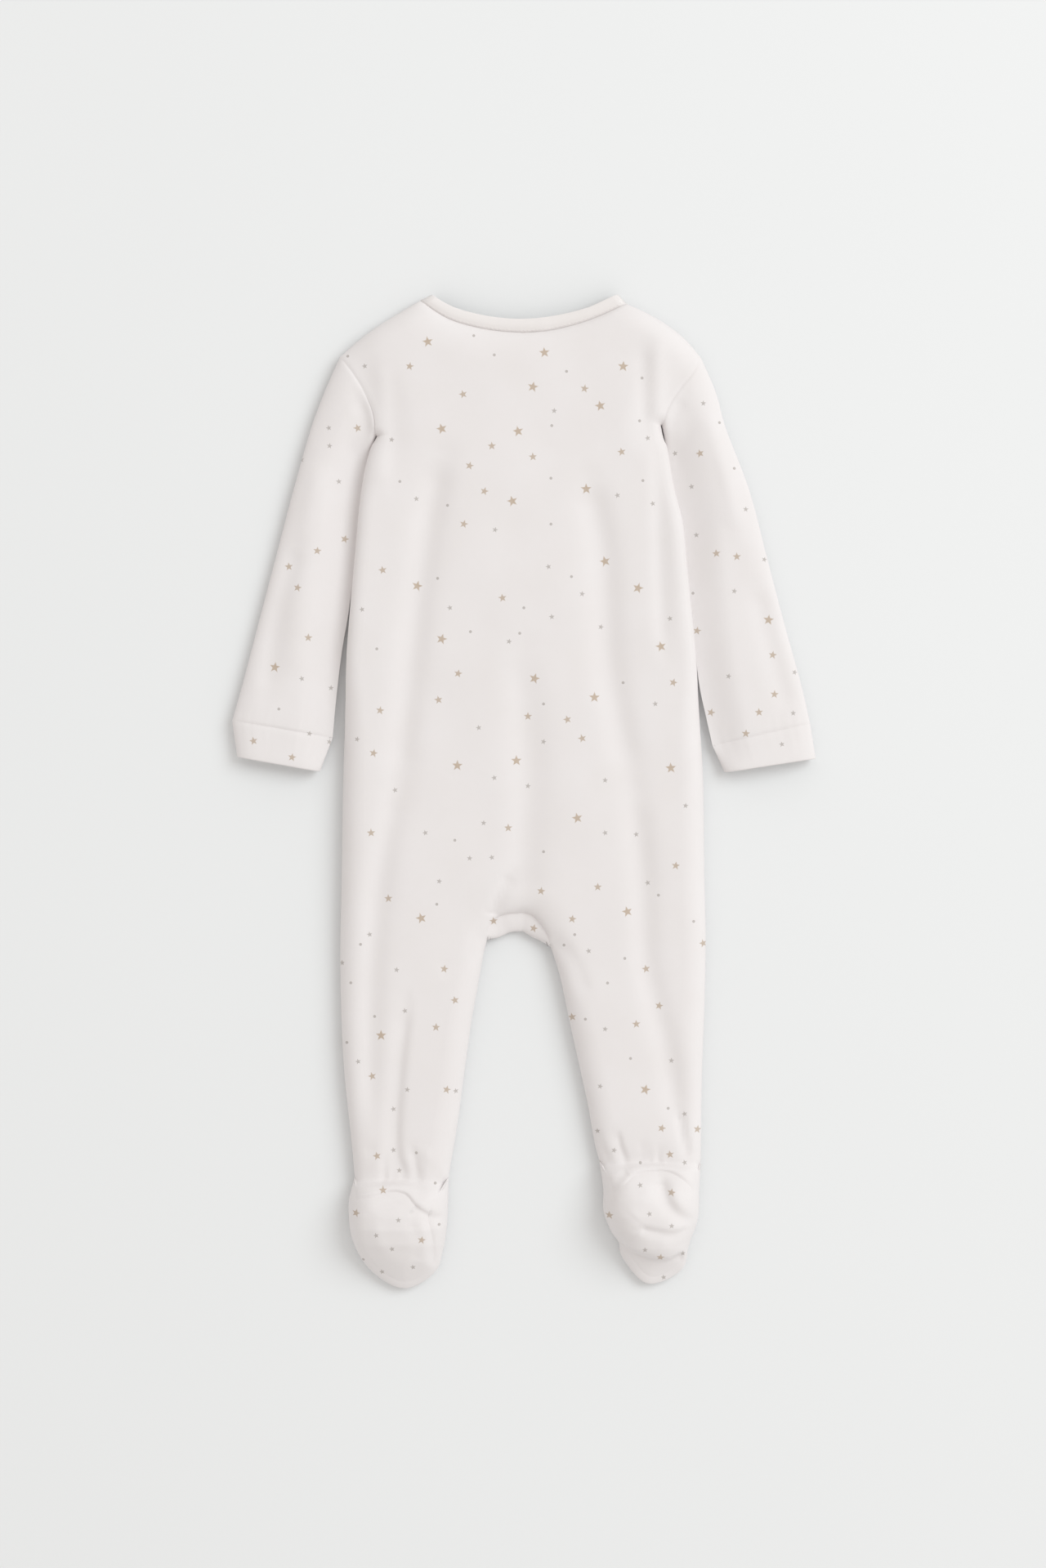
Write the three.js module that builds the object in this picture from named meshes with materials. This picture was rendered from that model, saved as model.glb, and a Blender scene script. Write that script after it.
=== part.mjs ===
import * as THREE from 'three';

// A footed baby sleepsuit that lies on its front. Millimetres: +X right, +Y to the neck, +Z up.
// Left and right are as seen from above, which is also the wearer's own left and right.

// Driving sizes
const cloth = 1.2; // jersey wall
const doubledCloth = 1.8; // cuffs and neck binding, folded double
const seamGap = 0.3; // between two sewn pieces
const seamSlope = 0.5; // how much further the inner face stops short of a seam
const seamHeight = 5.5; // side seams above the surface
const loft = { body: 17, armhole: 14, sleeve: 11.5, leg: 15.5 };
const neckHeight = 9.5;
const crotchHeight = 9.5;
const reach = { side: 14, under: 8, neck: 20, crotch: 18, armholeIn: 26, armholeOut: 45 };
const placketWidth = 15;
const stud = { radius: 4.5, clearance: 0.3, height: 2.4, count: 7, topY: 243, pitch: 50, sides: 16 };
const centreX = -0.5; // centre line of the body
const hipY = -64; // side point of the row that meets the crotch
const thighY = -96; // side point of the row where the inside leg seams start

// How many steps each stretch is made in
const steps = { neck: 6, shoulder: 6, body: 18, arch: 4, sleeve: 14, cuff: 3 };
const legStops = [0, 0.1, 0.2, 0.3, 0.4, 0.5, 0.6, 0.7, 0.79, 0.87, 0.93, 0.97, 1];
const sleeveTopStops = [0, 0.035, 0.13, 0.26, 0.42, 0.58, 0.74, 0.87, 0.965, 1];
const sleeveUnderStops = [0, 0.04, 0.09, 0.17, 0.5, 0.83, 0.91, 0.96, 1];
const rollStops = [0, 1 - Math.cos(Math.PI / 6), 1 - Math.cos(Math.PI / 3), 1];

const point = (x, y, z = 0) => new THREE.Vector3(x, y, z);
const mix = (a, b, t) => a + (b - a) * t;
const mixPoints = (a, b, t) => a.clone().lerp(b, t);
const smooth = (t) => THREE.MathUtils.smoothstep(t, 0, 1);
const round = (t) => Math.sqrt(Math.max(0, 1 - (1 - Math.min(1, t)) ** 2)); // quarter circle, 0 to 1
const range = (n) => Array.from({ length: n + 1 }, (_, i) => i / n);

function curve(rows) {
  return new THREE.CatmullRomCurve3(rows.map(([x, y, z]) => point(x, y, z ?? 0)), false, 'centripetal');
}

// Outlines of each side, each a list of [x, y] from the neck towards the feet
const left = {
  shoulder: curve([[-112.5, 266], [-100.5, 276.5], [-89, 285], [-76, 293], [-63.5, 300.5]]),
  neck: curve([[-63.5, 300.5], [-55.5, 294.5], [-45.5, 288.7], [-30, 284], [-15, 281.5], [-0.5, 280.5]]),
  armhole: curve([[-112.5, 266], [-105.5, 257], [-97, 243.5], [-91.5, 230.5], [-90, 217]]),
  side: curve([
    [-90, 217], [-94, 204.5], [-98, 184.5], [-102, 144.5], [-107, 84.5], [-110, 24.5],
    [-111.5, -55.5], [-112.3, -105.5], [-110.3, -165.5], [-105.3, -215.5], [-103.5, -235.5],
  ]),
  arch: curve([[-0.5, -74], [-10.5, -74.8], [-17, -77.5], [-20.5, -81.5], [-22.5, -90.5]]),
  inseam: curve([[-22.5, -90.5], [-24.5, -99], [-27.5, -115.5], [-32, -140.5], [-35.5, -165.5],
    [-41, -205.5], [-46, -235.5]]),
  sleeveOuter: curve([[-112.5, 266], [-122, 244.5], [-129.5, 224.5], [-141, 184.5], [-151.5, 144.5],
    [-162, 104.5], [-172.5, 64.5], [-178.5, 43.5]]),
  sleeveInner: curve([[-90.3, 217], [-95, 204.5], [-99, 184.5], [-103, 144.5], [-107.3, 109.5],
    [-111.5, 84.5], [-115, 55], [-117, 33]]),
  cuffEnd: [point(-175.5, 22), point(-124.5, 13)],
  frontNeck: curve([[-63.5, 300.5], [-57, 287.5], [-45, 272.5], [-28, 262.5], [-7.65, 257.5]]),
  frontCrotch: curve([[-7.65, -77], [-14, -80], [-19.5, -85.5], [-22.5, -90.5]]),
  gussetEdge: curve([[-0.5, -85.5], [-8, -86], [-15.5, -89.2], [-22.5, -90.5]]),
  bindingCorner: point(-57, 304),
  ankleY: -235.5,
};
const right = {
  shoulder: curve([[108.5, 265.5], [98.5, 277], [87, 286], [75, 293], [63, 298.5]]),
  neck: curve([[63, 298.5], [57, 295.5], [49.5, 292], [35, 286.5], [15, 281.7], [-0.5, 280.5]]),
  armhole: curve([[108.5, 265.5], [103, 255.5], [96, 247], [90, 238.5], [84, 224]]),
  side: curve([
    [84, 224], [87.5, 204.5], [91, 184.5], [96, 164.5], [99, 134.5], [103, 94.5], [106.5, 54.5],
    [109.5, 14.5], [110.5, -50.5], [111.3, -92], [110.5, -133], [109, -174], [108.3, -225],
  ]),
  arch: curve([[-0.5, -74], [4.5, -75], [8.5, -78.5], [14, -86.5], [16.5, -95]]),
  inseam: curve([[16.5, -95], [20, -105.5], [22.5, -114.5], [28, -140.5], [33.5, -165.5],
    [39, -190.5], [43.5, -215.5], [46, -225]]),
  sleeveOuter: curve([[108.5, 265.5], [117.5, 244.5], [123, 224.5], [138, 184.5], [148.5, 144.5],
    [159, 104.5], [170, 64.5], [175.2, 42]]),
  sleeveInner: curve([[84.3, 224], [88.6, 204.5], [92.2, 184.5], [97.2, 164.5], [100.1, 134.5],
    [103.6, 100], [107.5, 64.5], [111.8, 44.5], [115.5, 28]]),
  cuffEnd: [point(178.5, 21), point(122.5, 12.5)],
  frontNeck: curve([[63, 298.5], [57, 287.5], [45, 272.5], [28, 262.5], [7.65, 257.5]]),
  frontCrotch: curve([[7.65, -78], [11.5, -82], [14.5, -88], [16.5, -95]]),
  gussetEdge: curve([[-0.5, -85.5], [4.5, -88.5], [9.5, -91], [16.5, -95]]),
  bindingCorner: point(58, 304),
  ankleY: -225,
};
const bindingEdge = curve([[-57, 304], [-50.5, 299.5], [-40.5, 294.7], [-20.5, 290], [-0.5, 288.5],
  [19.5, 290.5], [39.5, 295.5], [49.5, 300], [58, 304]]);
const bindingFrontEdge = curve([[58, 304], [49, 288], [38, 277.5], [22, 269.5], [0, 266.5],
  [-22, 269.5], [-38, 277.5], [-49, 288], [-57, 304]]);

// Troughs (depth above 0) and ridges (below 0) of the cloth on the upper side
const folds = [
  { along: curve([[-50, 205], [-58, 164.5], [-65.5, 110], [-72, 52], [-77, 3.5]]), depth: 3.4, width: 9 },
  { along: curve([[-77, 3.5], [-86.5, -45], [-92.5, -105.5], [-94.5, -215.5]]), depth: 2.6, width: 7 },
  { along: curve([[-2, 84.5], [2, 20], [1, -30], [-0.5, -68]]), depth: 2.8, width: 10 },
  { along: curve([[39.5, 189.5], [48, 145], [52, 76], [66.5, 3.5]]), depth: 3.2, width: 9 },
  { along: curve([[66.5, 3.5], [71.5, -45], [75, -105.5], [86.5, -155], [97, -210]]), depth: 2.8, width: 8 },
  { along: curve([[-71, -130], [-76, -171.5], [-77.5, -221.5]]), depth: 3, width: 5 },
  { along: curve([[79, 216], [83, 150], [85.5, 84.5]]), depth: 1.8, width: 6 },
  { along: curve([[81, 272], [82.5, 228]]), depth: -1.6, width: 5 },
  { along: curve([[-88, 262], [-84, 225], [-85.5, 184.5]]), depth: -1.6, width: 6 },
  { along: curve([[-20, -77], [-16.5, -65.5], [-8, -50.5]]), depth: 2.2, width: 5 },
  { along: curve([[-124, 205], [-133, 140], [-142, 66]]), depth: -1.6, width: 8 },
  { along: curve([[-138, 150], [-150, 110], [-158, 60]]), depth: 1.6, width: 6 },
  { along: curve([[112, 234.5], [122, 195], [129.5, 159.5]]), depth: -1.6, width: 7 },
  { along: curve([[142, 124.5], [152, 85], [162, 50]]), depth: 1.8, width: 7 },
];

// Feet: a station for each place round the foot, with its outermost point, the seam above it and
// the seam's height, and the height of the middle of the sole from heel to toe
const stationNames = ['ankleLeft', 'heelLeft', 'left1', 'left2', 'toeLeft', 'toe', 'toeRight',
  'right2', 'right1', 'heelRight', 'ankleRight'];
const stationSteps = [3, 2, 2, 2, 6, 6, 2, 2, 2, 3];
left.foot = {
  stations: {
    ankleLeft: { out: [-103.5, -235.5], seam: [-103.5, -235.5, seamHeight] },
    heelLeft: { out: [-107, -250], seam: [-102, -249, 17] },
    left1: { out: [-107, -261], seam: [-103, -261.5, 16] },
    left2: { out: [-104.5, -275], seam: [-100.5, -273.5, 12.5] },
    toeLeft: { out: [-94, -292.5], seam: [-91.5, -288.5, 9.5] },
    toe: { out: [-73, -304], seam: [-73, -299.5, 8.5] },
    toeRight: { out: [-54, -293.5], seam: [-57.5, -291, 9] },
    right2: { out: [-49.5, -280.5], seam: [-54.5, -280, 11] },
    right1: { out: [-47, -265], seam: [-56.5, -266, 15] },
    heelRight: { out: [-46.3, -250], seam: [-58, -256, 17.5] },
    ankleRight: { out: [-46, -235.5], seam: [-46, -235.5, seamHeight] },
  },
  heelSeam: curve([[-102, -249], [-98, -247.5], [-89, -245.5], [-80.5, -243.5], [-72, -245],
    [-66, -251], [-58, -256]]),
  crown: [24.5, 28.5, 27.5, 23, 17, 12, 8.5],
};
right.foot = {
  stations: {
    ankleLeft: { out: [46, -225], seam: [46, -225, seamHeight] },
    heelLeft: { out: [48.6, -243], seam: [54.5, -243.5, 18] },
    left1: { out: [48.6, -256], seam: [52.5, -256, 19] },
    left2: { out: [53, -268.5], seam: [57, -266, 17] },
    toeLeft: { out: [61.5, -287], seam: [66, -285, 10] },
    toe: { out: [76, -301], seam: [78, -296.5, 9] },
    toeRight: { out: [97, -292], seam: [93.5, -289, 9.5] },
    right2: { out: [101, -277], seam: [98, -276, 13] },
    right1: { out: [106.5, -261], seam: [102.5, -260, 18] },
    heelRight: { out: [107.3, -243], seam: [103.5, -243, 18] },
    ankleRight: { out: [108.3, -225], seam: [108.3, -225, seamHeight] },
  },
  heelSeam: curve([[54.5, -243.5], [59.5, -240], [67, -233.5], [79.5, -231], [89.5, -232],
    [98, -237], [103.5, -243]]),
  crown: [23.5, 28.5, 30.5, 28.5, 17, 12, 9],
};

// Distances in the plane
function sampled(line, count = 48) {
  return line.getPoints(count);
}

function distanceTo(lines, x, y) {
  let best = Infinity;
  for (const line of lines) {
    for (let i = 1; i < line.length; i += 1) {
      const a = line[i - 1];
      const b = line[i];
      const dx = b.x - a.x;
      const dy = b.y - a.y;
      const along = ((x - a.x) * dx + (y - a.y) * dy) / (dx * dx + dy * dy);
      const t = Math.min(1, Math.max(0, along));
      best = Math.min(best, Math.hypot(x - a.x - dx * t, y - a.y - dy * t));
    }
  }
  return best;
}

const sides = [left, right];
const silhouette = sides.flatMap((side) => [
  ...[side.shoulder, side.side, side.inseam, side.sleeveOuter, side.sleeveInner].map((c) => sampled(c)),
  [side.sleeveOuter.getPoint(1), side.cuffEnd[0]],
  [side.sleeveInner.getPoint(1), side.cuffEnd[1]],
  [side.neck.getPoint(0), side.bindingCorner],
]);
const neckLines = sides.map((side) => sampled(side.neck));
const archLines = sides.map((side) => sampled(side.arch));
const armholeLines = sides.map((side) => sampled(side.armhole));
const foldLines = folds.map((fold) => [sampled(fold.along)]);

// Heights of the cloth over and under the hollow, from the distance to the garment's edge
function settle(z, level, distance, width) {
  return z > level ? level + (z - level) * round(distance / width) : z;
}

function topHeight(x, y, onSleeve = false) {
  const edge = distanceTo(silhouette, x, y);
  const fromArmhole = distanceTo(armholeLines, x, y);
  let full = mix(loft.body, loft.leg, smooth((-40 - y) / 70));
  full = mix(loft.armhole, full, smooth(fromArmhole / reach.armholeIn));
  if (onSleeve) {
    full = mix(loft.armhole, loft.sleeve, smooth(fromArmhole / reach.armholeOut));
  }
  const rise = round(edge / reach.side);
  let z = mix(seamHeight, full, rise);
  if (!onSleeve) {
    z = settle(z, neckHeight, distanceTo(neckLines, x, y), reach.neck);
    z = settle(z, crotchHeight, distanceTo(archLines, x, y), reach.crotch);
  }
  folds.forEach((fold, i) => {
    const away = distanceTo(foldLines[i], x, y) / fold.width;
    z -= fold.depth * Math.exp(-away * away) * rise;
  });
  return z;
}

function underHeight(x, y) {
  return seamHeight * (1 - round(distanceTo(silhouette, x, y) / reach.under));
}

// Sheets: each patch is a list of rows of points, and points that coincide become one
function surface(patches, facingDown = false) {
  const points = [];
  const seen = new Map();
  const indexOf = (p) => {
    const key = [p.x, p.y, p.z].map((v) => Math.round(v * 1000)).join();
    if (!seen.has(key)) {
      seen.set(key, points.length);
      points.push(p.clone());
    }
    return seen.get(key);
  };
  const triangles = [];
  const addTriangle = (a, b, c) => {
    if (a !== b && b !== c && c !== a) {
      triangles.push(facingDown ? [a, c, b] : [a, b, c]);
    }
  };
  for (const rows of patches) {
    const index = rows.map((row) => row.map(indexOf));
    for (let r = 1; r < rows.length; r += 1) {
      for (let c = 1; c < rows[r].length; c += 1) {
        const a = index[r - 1][c - 1];
        const b = index[r][c - 1];
        const d = index[r][c];
        const e = index[r - 1][c];
        addTriangle(a, b, d);
        addTriangle(a, d, e);
      }
    }
  }
  return { points, triangles };
}

// Gives a sheet its thickness inwards and draws its edges back from the seams
function thicken({ points, triangles }, thickness) {
  const normals = points.map(() => point(0, 0));
  const inward = points.map(() => point(0, 0));
  const edges = new Map();
  for (const [a, b, c] of triangles) {
    const ab = points[b].clone().sub(points[a]);
    const ac = points[c].clone().sub(points[a]);
    const face = ab.cross(ac);
    for (const i of [a, b, c]) {
      normals[i].add(face);
    }
    for (const [i, j] of [[a, b], [b, c], [c, a]]) {
      if (!edges.delete(`${j},${i}`)) {
        edges.set(`${i},${j}`, { i, j, face });
      }
    }
  }
  for (const { i, j, face } of edges.values()) {
    const direction = points[j].clone().sub(points[i]);
    const across = face.clone().cross(direction).normalize();
    for (const k of [i, j]) {
      inward[k].add(across);
      if (Math.abs(points[k].z - seamHeight) < 1e-6) normals[k].z = 0; // upright wall at a side seam
    }
  }
  normals.forEach((n) => n.normalize());
  inward.forEach((v) => v.normalize());
  const outer = points.map((p, i) => p.clone().addScaledVector(inward[i], seamGap / 2));
  outer.forEach((p) => p.setZ(Math.max(0, p.z)));
  const inner = outer.map((p, i) => p.clone()
    .addScaledVector(normals[i], -thickness).addScaledVector(inward[i], seamSlope));
  const count = points.length;
  const index = [];
  for (const [a, b, c] of triangles) {
    index.push(a, b, c, a + count, c + count, b + count);
  }
  for (const { i, j } of edges.values()) {
    index.push(j, i, i + count, j, i + count, j + count);
  }
  const geometry = new THREE.BufferGeometry();
  const flat = [...outer, ...inner].flatMap((p) => p.toArray());
  geometry.setAttribute('position', new THREE.Float32BufferAttribute(flat, 3));
  geometry.setIndex(index);
  return geometry;
}

// A patch between four edges: top and bottom run across, start and end run down
function between(top, bottom, start, end, height) {
  const columns = top.length - 1;
  const last = start.length - 1;
  return start.map((_, r) => top.map((__, c) => {
    if (r === 0) return top[c].clone();
    if (r === last) return bottom[c].clone();
    if (c === 0) return start[r].clone();
    if (c === columns) return end[r].clone();
    const u = c / columns;
    const v = start.stops ? start.stops[r] : r / last;
    const p = mixPoints(top[c], bottom[c], v).add(mixPoints(start[r], end[r], u));
    p.sub(mixPoints(mixPoints(top[0], bottom[0], v), mixPoints(top[columns], bottom[columns], v), u));
    if (height) {
      p.z = height(p, u, v);
    }
    return p;
  }));
}

const curvePoints = (line, stops) => stops.map((t) => line.getPointAt(t));

function crossing(line, y) {
  let low = 0;
  let high = 1;
  for (let i = 0; i < 40; i += 1) {
    const middle = (low + high) / 2;
    if (line.getPoint(middle).y > y) {
      low = middle;
    } else {
      high = middle;
    }
  }
  return line.getPoint(low);
}

function withHeights(points, height, endHeights = [seamHeight, seamHeight]) {
  const last = points.length - 1;
  return points.map((p, i) => {
    const q = p.clone();
    q.z = height(p.x, p.y);
    if (i === 0 && endHeights[0] !== null) q.z = endHeights[0];
    if (i === last && endHeights[1] !== null) q.z = endHeights[1];
    return q;
  });
}

// Where the columns of a row stand, from its outer edge (0) to its inner edge (1)
function columnStops(width, roll, plain, bothEnds) {
  const edge = rollStops.map((t) => (t * roll) / width);
  const first = edge[edge.length - 1];
  const lastPlain = bothEnds ? 1 - first : 1;
  const middle = range(plain).slice(1, -1).map((t) => mix(first, lastPlain, t));
  const far = bothEnds ? edge.map((t) => 1 - t).reverse() : [1];
  return [...edge, ...middle, ...far];
}

function rowBetween(outer, inner, roll, plain, atLeg) {
  const width = outer.distanceTo(inner);
  const body = columnStops(width, roll, plain + 3, false);
  const leg = columnStops(width, roll, plain, true);
  return body.map((t, i) => mixPoints(outer, inner, mix(t, leg[i], atLeg)));
}

// The points down the side and down the inner edge that the rows of a panel run between
const topRows = range(steps.body);
for (const side of sides) {
  const outerTop = side.side.getPoint(0).y;
  side.centreTop = (left.side.getPoint(0).y + right.side.getPoint(0).y) / 2;
  side.bodyOuter = topRows.map((t) => crossing(side.side, mix(outerTop - 0.001, hipY, t)));
  side.bodyOuter[0] = side.side.getPoint(0);
  side.archOuter = range(steps.arch).map((t) => crossing(side.side, mix(hipY, thighY, t)));
  side.legOuter = legStops.map((t) => crossing(side.side, mix(thighY, side.ankleY + 0.001, t)));
  side.legInner = curvePoints(side.inseam, legStops);
  side.archPoints = withHeights(curvePoints(side.arch, range(steps.arch)), topHeight, [null, seamHeight]);
  side.armholeTop = withHeights(curvePoints(side.armhole, sleeveTopStops), topHeight);
  side.armholeTop.stops = sleeveTopStops;
  side.armholeUnder = withHeights(curvePoints(side.armhole, sleeveUnderStops), underHeight);
  side.armholeUnder.stops = sleeveUnderStops;
  side.neckPoints = withHeights(curvePoints(side.neck, range(steps.neck)), topHeight, [seamHeight, null]);
}

// Feet: points round the sole seam and round the outline, at the same stations
function footPoints(side) {
  const rows = stationNames.map((name) => side.foot.stations[name]);
  const seam = curve(rows.map((row) => row.seam));
  const out = curve(rows.map((row) => [...row.out, mix(seamHeight, row.seam[2], 0.3)]));
  const count = rows.length - 1;
  const stops = [0];
  stationSteps.forEach((n, i) => range(n).slice(1).forEach((t) => stops.push((i + t) / count)));
  const foot = side.foot;
  foot.stops = stops;
  foot.seamPoints = stops.map((t) => seam.getPoint(t));
  foot.outPoints = stops.map((t) => out.getPoint(t));
  const heel = stationSteps[0];
  const flank = heel + stationSteps[1] + stationSteps[2] + stationSteps[3];
  const total = stops.length - 1;
  foot.heelLeft = foot.seamPoints.slice(0, heel + 1);
  foot.heelRight = foot.seamPoints.slice(total - heel).reverse();
  foot.soleLeft = foot.seamPoints.slice(heel, flank + 1);
  foot.soleRight = foot.seamPoints.slice(total - flank, total - heel + 1).reverse();
  foot.toeEdge = foot.seamPoints.slice(flank, total - flank + 1);
  const across = range(foot.toeEdge.length - 1);
  foot.heelEdge = across.map((u, i) => {
    const p = foot.heelSeam.getPointAt(u);
    p.z = soleHeight(foot, u, 0);
    if (i === 0) return foot.soleLeft[0].clone();
    if (i === across.length - 1) return foot.soleRight[0].clone();
    return p;
  });
}

function soleHeight(foot, u, v) {
  const last = foot.crown.length - 1;
  const at = Math.min(last - 1e-6, v * last);
  const row = Math.floor(at);
  const crown = mix(foot.crown[row], foot.crown[row + 1], at - row);
  const rim = (points) => {
    const i = Math.min(points.length - 2, Math.floor(v * (points.length - 1)));
    return mix(points[i].z, points[i + 1].z, v * (points.length - 1) - i);
  };
  const edge = mix(rim(foot.soleLeft), rim(foot.soleRight), u);
  return mix(edge, crown, Math.sin(Math.PI * u) ** 0.6);
}

sides.forEach(footPoints);

const leftToRight = (side, row) => (side === left ? row : [...row].reverse());

// Elastic at the back of the ankle draws the cloth into small upright waves
function ankleGather(column, distance) {
  const size = 0.8;
  const spread = 9;
  return (column % 2 ? size : -size) * Math.exp(-((distance / spread) ** 2));
}

function backRows(side) {
  const plain = 6;
  const centre = topRows.map((t) => point(centreX, mix(side.centreTop, side.arch.getPoint(0).y, t)));
  const rows = [];
  const add = (outer, inner, atLeg, innerHeight, ankle) => {
    const flat = rowBetween(outer, inner, reach.side, plain, atLeg);
    const row = withHeights(flat, topHeight, [seamHeight, innerHeight]);
    if (ankle !== undefined) {
      row.slice(1, -1).forEach((p, i) => {
        const clear = Math.min(i + 1, row.length - 2 - i) / 4; // the waves die out at the side seams
        p.z += (ankleGather(i, ankle) - 2 * Math.exp(-((ankle / 5) ** 2))) * Math.min(1, clear);
      });
    }
    rows.push(row);
  };
  topRows.forEach((t, i) => add(side.bodyOuter[i], centre[i], 0, null));
  side.archPoints.slice(1).forEach((p, i) => {
    add(side.archOuter[i + 1], point(p.x, p.y), smooth((i + 1) / steps.arch), p.z);
  });
  side.legInner.slice(1).forEach((p, i) => {
    const outer = side.legOuter[i + 1];
    add(outer, p, 1, seamHeight, outer.y - side.ankleY);
  });
  return rows;
}

function backPatches(side) {
  const rows = backRows(side);
  const shoulder = withHeights(curvePoints(side.shoulder, range(steps.shoulder)), () => seamHeight);
  const top = [...shoulder, ...side.neckPoints.slice(1)];
  const centreLine = sleeveTopStops.map((t) => {
    const y = mix(side.neck.getPoint(1).y, side.centreTop, t);
    return point(centreX, y, topHeight(centreX, y));
  });
  centreLine[0] = side.neckPoints[steps.neck];
  const yoke = between(top, rows[0], side.armholeTop, centreLine, (p) => topHeight(p.x, p.y));
  const ankle = leftToRight(side, rows[rows.length - 1]);
  const foot = side.foot;
  const heel = between(ankle, foot.heelEdge, foot.heelLeft, foot.heelRight);
  const lift = (u, v) => 1.5 * Math.sin(Math.PI * v) * Math.sin(Math.PI * u) ** 0.6;
  heel.slice(1, -1).forEach((row, r) => row.slice(1, -1).forEach((p, c) => {
    const column = side === left ? c : row.length - 3 - c;
    p.z += lift((c + 1) / (row.length - 1), (r + 1) / (heel.length - 1));
    p.z += ankleGather(column, 4 * (r + 1));
  }));
  return [yoke.map((row) => leftToRight(side, row)), rows.map((row) => leftToRight(side, row)), heel];
}

// Fronts lie flat and turn up at their edges to the seams
function frontPatches(side) {
  const plain = 4;
  const edgeX = side.frontNeck.getPoint(1).x;
  const crotch = side.frontCrotch.getPoint(0);
  const turnUp = (row, innerRise) => {
    const turned = rollStops.map((t) => 1 - round(t));
    row.forEach((p, i) => {
      const fromInner = row.length - 1 - i;
      p.z = seamHeight * (turned[i] ?? 0) + innerRise * (turned[fromInner] ?? 0);
    });
    return row;
  };
  const innerTop = point(edgeX, side.centreTop);
  const bodyIndex = topRows.map((_, i) => i).filter((i) => i % 2 === 0);
  const rows = bodyIndex.map((i) => {
    const inner = mixPoints(innerTop, crotch, topRows[i]);
    return turnUp(rowBetween(side.bodyOuter[i], inner, reach.under, plain, 0), 0);
  });
  side.frontCrotchPoints.slice(1).forEach((p, i) => {
    const atLeg = smooth((i + 1) / steps.arch);
    const row = rowBetween(side.archOuter[i + 1], point(p.x, p.y), reach.under, plain, atLeg);
    rows.push(turnUp(row, p.z));
  });
  side.legInner.slice(1).forEach((p, i) => {
    rows.push(turnUp(rowBetween(side.legOuter[i + 1], p, reach.under, plain, 1), seamHeight));
  });
  const shoulder = withHeights(curvePoints(side.shoulder, range(5)), () => seamHeight);
  const neck = withHeights(side.frontNeckPoints, underHeight, [seamHeight, 0]);
  const top = [...shoulder, ...neck.slice(1)];
  const inner = sleeveUnderStops.map((t) => point(edgeX, mix(neck[neck.length - 1].y, side.centreTop, t)));
  const yoke = between(top, rows[0], side.armholeUnder, inner, (p) => underHeight(p.x, p.y));
  return [yoke, rows].map((patch) => patch.map((row) => leftToRight(side, row)));
}

for (const side of sides) {
  side.frontNeckPoints = curvePoints(side.frontNeck, range(5));
  const rises = [0, 0, 0.3, 2.2, seamHeight];
  const [start, middle, low, tip] = [0, 0.36, 0.7, 1].map((t) => side.frontCrotch.getPointAt(t));
  side.frontCrotchPoints = [start, mixPoints(start, middle, 0.5), middle, low, tip];
  side.frontCrotchPoints.forEach((p, i) => {
    p.z = rises[i];
  });
}

// Sleeves and cuffs: flattened rings from the armhole to the hand
function ring(top, under) {
  return [...top, ...[...under].reverse().slice(1)];
}

function sleeveRing(side, outer, inner, atArmhole, gather) {
  const bend = (stops, armhole) => stops.map((t, i) => {
    const p = mixPoints(outer, inner, t);
    const chord = mixPoints(armhole[0], armhole[armhole.length - 1], t);
    p.x += (armhole[i].x - chord.x) * atArmhole;
    p.y += (armhole[i].y - chord.y) * atArmhole;
    return p;
  });
  const top = withHeights(bend(sleeveTopStops, side.armholeTop), (x, y) => topHeight(x, y, true));
  const under = withHeights(bend(sleeveUnderStops, side.armholeUnder), underHeight);
  top.slice(2, -2).forEach((p, i) => {
    p.z += i % 2 ? gather : -gather;
  });
  return ring(leftToRight(side, top), leftToRight(side, under));
}

function sleeveRings(side) {
  const rings = range(steps.sleeve).map((t) => {
    const nearCuff = Math.exp(-(((1 - t) * steps.sleeve - 1) ** 2)) * (t < 1 ? 1 : 0);
    const outer = side.sleeveOuter.getPointAt(t);
    const inner = side.sleeveInner.getPointAt(t);
    const atArmhole = 1 - smooth((t * steps.sleeve) / 4);
    return sleeveRing(side, outer, inner, atArmhole, 0.7 * nearCuff);
  });
  const start = (points, shift) => points.map((p, i) => (i === points.length - 1 ? shift : p));
  const inner = side.sleeveInner.getPoint(0).setZ(seamHeight);
  const top = start(side.armholeTop, inner);
  const under = start(side.armholeUnder, inner);
  rings[0] = ring(leftToRight(side, top), leftToRight(side, under));
  return rings;
}

function cuffRings(side, seamRing) {
  const end = sleeveRing(side, side.cuffEnd[0], side.cuffEnd[1], 0, 0);
  return range(steps.cuff).map((t) => seamRing.map((p, i) => mixPoints(p, end[i], t)));
}

const closed = (rings) => [rings.map((row) => [...row, row[0]])];

// Neck binding: a band round the neck, its back half over its front half
function bindingRings() {
  const count = steps.neck * 2;
  const backSeam = [...left.neckPoints, ...[...right.neckPoints].reverse().slice(1)];
  const frontSeam = [
    ...right.frontNeckPoints, ...[...left.frontNeckPoints].reverse(),
  ];
  const backEdge = curvePoints(bindingEdge, range(count));
  const frontEdge = curvePoints(bindingFrontEdge, range(frontSeam.length - 1));
  const under = withHeights(frontSeam, underHeight);
  const seamRow = [...backSeam, ...under.slice(1, -1)];
  const edgeRow = [
    ...backEdge.map((p, i) => p.clone().setZ(i % count ? backSeam[i].z + 0.6 : seamHeight)),
    ...frontEdge.slice(1, -1).map((p, i) => p.clone().setZ(under[i + 1].z)),
  ];
  return [0, 0.5, 1].map((t) => edgeRow.map((p, i) => mixPoints(p, seamRow[i], t)));
}

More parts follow.
